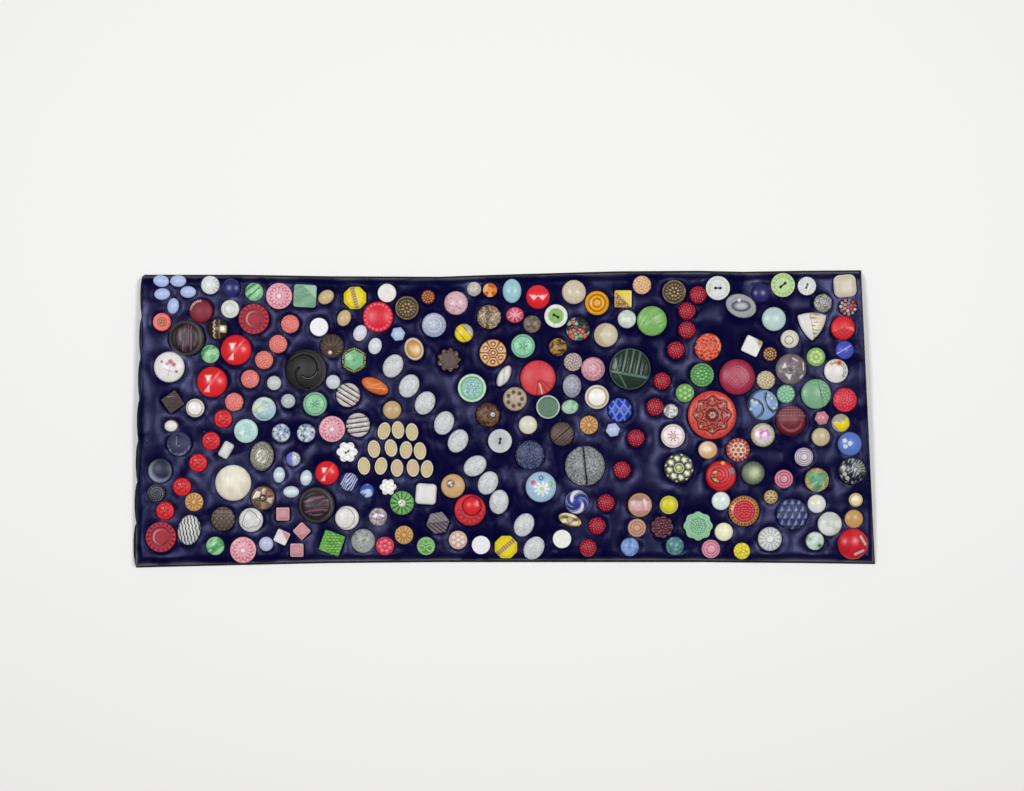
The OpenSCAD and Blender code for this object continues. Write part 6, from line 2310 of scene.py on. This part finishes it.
@dataclass(frozen=True)
class SatinPad:
    """The wadded satin pad, held down at its edges and under each button.

    Sizes are in millimetres, and the angle of an edge that stays sharp is in degrees.
    """

    across: int = 420
    deep: int = 168
    puff: float = 0.13
    sink: float = 0.5
    edge_run: float = 7.0
    rounds: int = 500
    pucker: float = 0.12
    crease: float = 0.5
    top: float = 9.5
    side: float = 4.0
    foot: float = 0.2
    pitch: float = 1.0
    window: float = 30.0
    hold: float = 0.2
    pucker_run: float = 7.0
    swell: float = 0.8
    billow: float = 2.4
    billow_size: Place = (30.0, 36.0)
    crease_size: Place = (8.0, 30.0)
    sharp: float = 60.0
    seed: int = 71

    def outline(self, node: CadNode, x: Array) -> tuple[Array, Array]:
        """Near and far edge of the pad at each place along it."""
        seg = node.base_segments(np.ones(len(node.points), bool))
        a, b = seg[:, 0], seg[:, 1]
        span = np.abs(b[:, 0] - a[:, 0]) > 1e-6
        a, b = a[span], b[span]
        t = (x[:, None] - a[:, 0]) / (b[:, 0] - a[:, 0])
        y = a[:, 1] + t * (b[:, 1] - a[:, 1])
        hit = (t >= -1e-6) & (t <= 1 + 1e-6)
        return np.where(hit, y, np.inf).min(1), np.where(hit, y, -np.inf).max(1)

    def held_down(self, seats: Sequence[Seat], x: Array, y: Array) -> tuple[Array, Array]:
        """Where buttons hold the satin, and the puckers about them."""
        held, folds = np.zeros(x.shape, bool), np.zeros(x.shape)
        grid = np.linspace(0, TAU, 65)
        for k, s in enumerate(seats):
            window = (np.abs(x - s.x) < self.window) & (np.abs(y - s.y) < self.window)
            dx, dy = x[window] - s.x, y[window] - s.y
            angle = np.arctan2(dy, dx) % TAU
            rim = np.append(s.reach(grid[:-1]), s.reach(grid[:1]))
            off = np.hypot(dx, dy) - np.interp(angle, grid, rim)
            held[window] |= off < self.hold
            fold = np.cos(angle * (5 + k % 4) + k) * np.exp(-np.clip(off, 0, None) / self.pucker_run)
            folds[window] += fold * (off > 0)
        return held, folds

    def puffed(self, seats: Sequence[Seat], low: Array, high: Array) -> Pillow:
        """Solves the puffed cover as a membrane held down at the buttons.

        Args:
            seats: The buttons.
            low: Least x and y.
            high: Greatest x and y.

        Returns:
            The height of the cover above the level of the buttons' undersides.
        """
        n = np.ceil((high - low) / self.pitch).astype(int) + 1
        places = [low[k] + np.arange(n[k]) * self.pitch for k in (0, 1)]
        x, y = np.meshgrid(*places, indexing="ij")
        held, folds = self.held_down(seats, x, y)
        held[[0, -1]] = True
        held[:, [0, -1]] = True
        w = np.zeros(x.shape)
        for _ in range(self.rounds):
            w[1:-1, 1:-1] = (w[2:, 1:-1] + w[:-2, 1:-1] + w[1:-1, 2:] + w[1:-1, :-2] + self.pitch**2) / 4
            w[held] = 0
        height = self.puff * w**self.swell
        noise = Noise(self.seed)
        free = np.clip(height, 0, 1)
        waves = ((self.billow, self.billow_size, 0), (self.crease, self.crease_size, 50))
        for depth, (along, across), shift in waves:
            height += (noise.layered(x / along + shift, y / across) - 0.5) * depth * free
        return Pillow(low, self.pitch, height + self.pucker * folds * free)

    def build(self, frame: dict, seats: Sequence[Seat]) -> bpy.types.Object:
        """Makes the pad piece.

        Args:
            frame: The loaded frame.
            seats: Every button.

        Returns:
            The piece, riding on the card.
        """
        node = CadNode(frame, "satin_pad")
        low, high = node.points.min(0)[:2], node.points.max(0)[:2]
        base = node.points[:, 2].min()
        x = low[0] + (high[0] - low[0]) * eased(self.across)
        near, far = self.outline(node, x)
        gx = np.repeat(x[:, None], self.deep + 1, 1)
        gy = near[:, None] + (far - near)[:, None] * eased(self.deep)
        ends = np.minimum(gx - low[0], high[0] - gx)
        sides = np.minimum(gy - near[:, None], far[:, None] - gy)
        inset = np.minimum(ends, sides)
        round_off = np.sqrt(1 - (1 - np.clip(inset / self.edge_run, 0, 1)) ** 2)
        pillow = self.puffed(seats, low, high)
        full = self.top - self.sink + pillow.at(gx, gy)
        gz = self.side + (full - self.side) * round_off
        sculpt = Sculpt()
        sculpt.add_sheet(gx, gy, gz, base + self.foot)
        piece = sculpt.build("satin_pad_dressed", satin(), self.sharp)
        settle(piece, "satin_pad")
        log.info("satin pad: %d points", sculpt.count)
        return piece


@dataclass(frozen=True)
class BackingCloth:
    """The black cloth under the pad. The ripple is in millimetres, other lengths in metres."""

    ripple: float = 0.15
    waves_per_metre: float = 60.0
    shift: float = 40.0
    longest_edge: float = 0.01
    passes: int = 4
    least_height: float = 0.001
    crease: float = 40.0
    seed: int = 5

    def build(self, frame: dict) -> bpy.types.Object:
        """Makes the cloth piece from its CAD outline, a little rippled.

        Args:
            frame: The loaded frame.

        Returns:
            The piece, riding on the card.
        """
        mesh = frame["nodes"]["backing_cloth"].data.copy()
        mesh.name = "backing_cloth_dressed"
        form = bmesh.new()
        form.from_mesh(mesh)
        bmesh.ops.triangulate(form, faces=form.faces[:])
        for _ in range(self.passes):
            long_edges = [e for e in form.edges if e.calc_length() > self.longest_edge]
            bmesh.ops.subdivide_edges(form, edges=long_edges, cuts=1)
            bmesh.ops.triangulate(form, faces=form.faces[:])
        noise = Noise(self.seed)
        for v in form.verts:
            if v.co.z > self.least_height:
                wave = noise(*(np.array(c * self.waves_per_metre + self.shift) for c in v.co[:2]))
                v.co.z -= float(wave) * self.ripple / MM
        form.to_mesh(mesh)
        form.free()
        mesh.materials.clear()
        mesh.materials.append(cloth())
        mesh.shade_smooth()
        mesh.set_sharp_from_angle(angle=math.radians(self.crease))
        piece = placed("backing_cloth_dressed", mesh)
        settle(piece, "backing_cloth")
        return piece


def satin() -> bpy.types.Material:
    """Navy satin with a soft sheen and fine threads."""
    shader = Shader("navy_satin")
    stretch = shader.add("ShaderNodeMapping")
    stretch.inputs["Scale"].default_value = (0.12, 1.0, 1.0)
    shader.join(shader.place, stretch.inputs["Vector"])
    threads = shader.add("ShaderNodeTexNoise", Scale=3200.0, Detail=2.0)
    shader.join(stretch.outputs["Vector"], threads.inputs["Vector"])
    shader.shade(threads, linear("05031f"), linear("0e0a3c"))
    nap = shader.noise(26.0, 4)
    nap.inputs["Distortion"].default_value = 1.2
    levels = {"From Min": 0.47, "From Max": 0.74, "To Min": 0.03, "To Max": 0.6}
    gloss = shader.add("ShaderNodeMapRange", **levels)
    across = shader.add("ShaderNodeSeparateXYZ")
    shader.join(shader.place, across.inputs["Vector"])
    ends = shader.work("ABSOLUTE", across.outputs["X"])
    # Sheen placed by position: the gloss rises towards both ends of the card, where the lamps' reflections
    # fall
    gloss_towards_ends = shader.work("MULTIPLY_ADD", ends, 0.3, nap.outputs["Fac"])
    shader.join(gloss_towards_ends, gloss.inputs["Value"])
    shader.join(gloss.outputs["Result"], shader.surface.inputs["Specular IOR Level"])
    shader.look(
        {
            "Roughness": 0.36,
            "Specular IOR Level": 0.25,
            "Specular Tint": (0.5, 0.52, 1.0, 1),
            "Sheen Weight": 0.015,
            "Sheen Roughness": 0.35,
            "Sheen Tint": (0.3, 0.32, 0.6, 1),
        }
    )
    shader.bump(threads, 0.05)
    shader.lint(150.0, linear("9a9aba"))
    return shader.material


def cloth() -> bpy.types.Material:
    """Matt black cloth with a plain weave."""
    shader = Shader("black_cloth")
    weave_grain = shader.noise(2600.0, 3)
    shader.shade(weave_grain, (0.004, 0.004, 0.005), (0.016, 0.016, 0.02))
    shader.look({"Roughness": 0.85})
    shader.bump(weave_grain, 0.08)
    return shader.material


@dataclass(frozen=True)
class Studio:
    """Floor, lamps and camera."""

    lens: float = 85.0
    view: tuple[float, float, float] = (0.006, 0.017625, 1.825)
    lamp_power: float = 15.6
    lamp_size: float = 0.45
    lamp_place: tuple[float, float, float] = (0.7, 0.2, 1.7)
    lamp_aim: float = 0.1
    sky: float = 0.13
    sensor: float = 36.0
    floor_half: float = 3.0

    def build(self) -> None:
        """Sets the stage round the card."""
        self.floor()
        for side in (-1, 1):
            self.lamp(side)
        self.camera()
        world = bpy.data.worlds.new("sky")
        bpy.context.scene.world = world
        world.use_nodes = True
        background = world.node_tree.nodes["Background"]
        background.inputs["Color"].default_value = (1, 1, 1, 1)
        background.inputs["Strength"].default_value = self.sky
        bpy.context.scene.view_settings.view_transform = "Standard"

    def floor(self) -> None:
        """A white sheet under the card."""
        mesh = bpy.data.meshes.new("floor")
        half = self.floor_half
        corners = [(-half, -half, 0), (half, -half, 0), (half, half, 0), (-half, half, 0)]
        mesh.from_pydata(corners, [], [(0, 1, 2, 3)])
        shader = Shader("white_paper")
        shader.look({"Base Color": (0.945, 0.94, 0.935, 1), "Roughness": 0.8})
        mesh.materials.append(shader.material)
        obj = placed("floor", mesh)

    def lamp(self, side: int) -> None:
        """A bright lamp at one side."""
        data = bpy.data.lights.new(f"lamp_{side}", "AREA")
        data.energy = self.lamp_power
        data.size = self.lamp_size
        obj = placed(data.name, data)
        obj.location = (self.lamp_place[0] * side, *self.lamp_place[1:])
        aim = np.array([self.lamp_aim * side, 0, 0]) - np.array(obj.location)
        obj.rotation_euler = Vector(aim).to_track_quat("-Z", "Y").to_euler()

    def camera(self) -> None:
        """The photograph's view, from straight above."""
        data = bpy.data.cameras.new("camera")
        data.lens = self.lens
        data.sensor_width = self.sensor
        obj = placed("camera", data)
        obj.location = self.view
        bpy.context.scene.camera = obj


def main() -> None:
    """Builds the card in order."""
    logging.basicConfig(level=logging.INFO)
    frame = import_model()
    families = oval_families() + red_families() + white_families() + colour_families() + fancy_families()
    seats = [s for f in families for s in CadNode(frame, f.node).seats()]
    log.info("%d buttons in %d families", len(seats), len(families))
    for k, family in enumerate(families):
        family.build(frame, SEEDS_APART * k + 1)
    SatinPad().build(frame, seats)
    BackingCloth().build(frame)
    Studio().build()


if __name__ == "__main__":
    main()
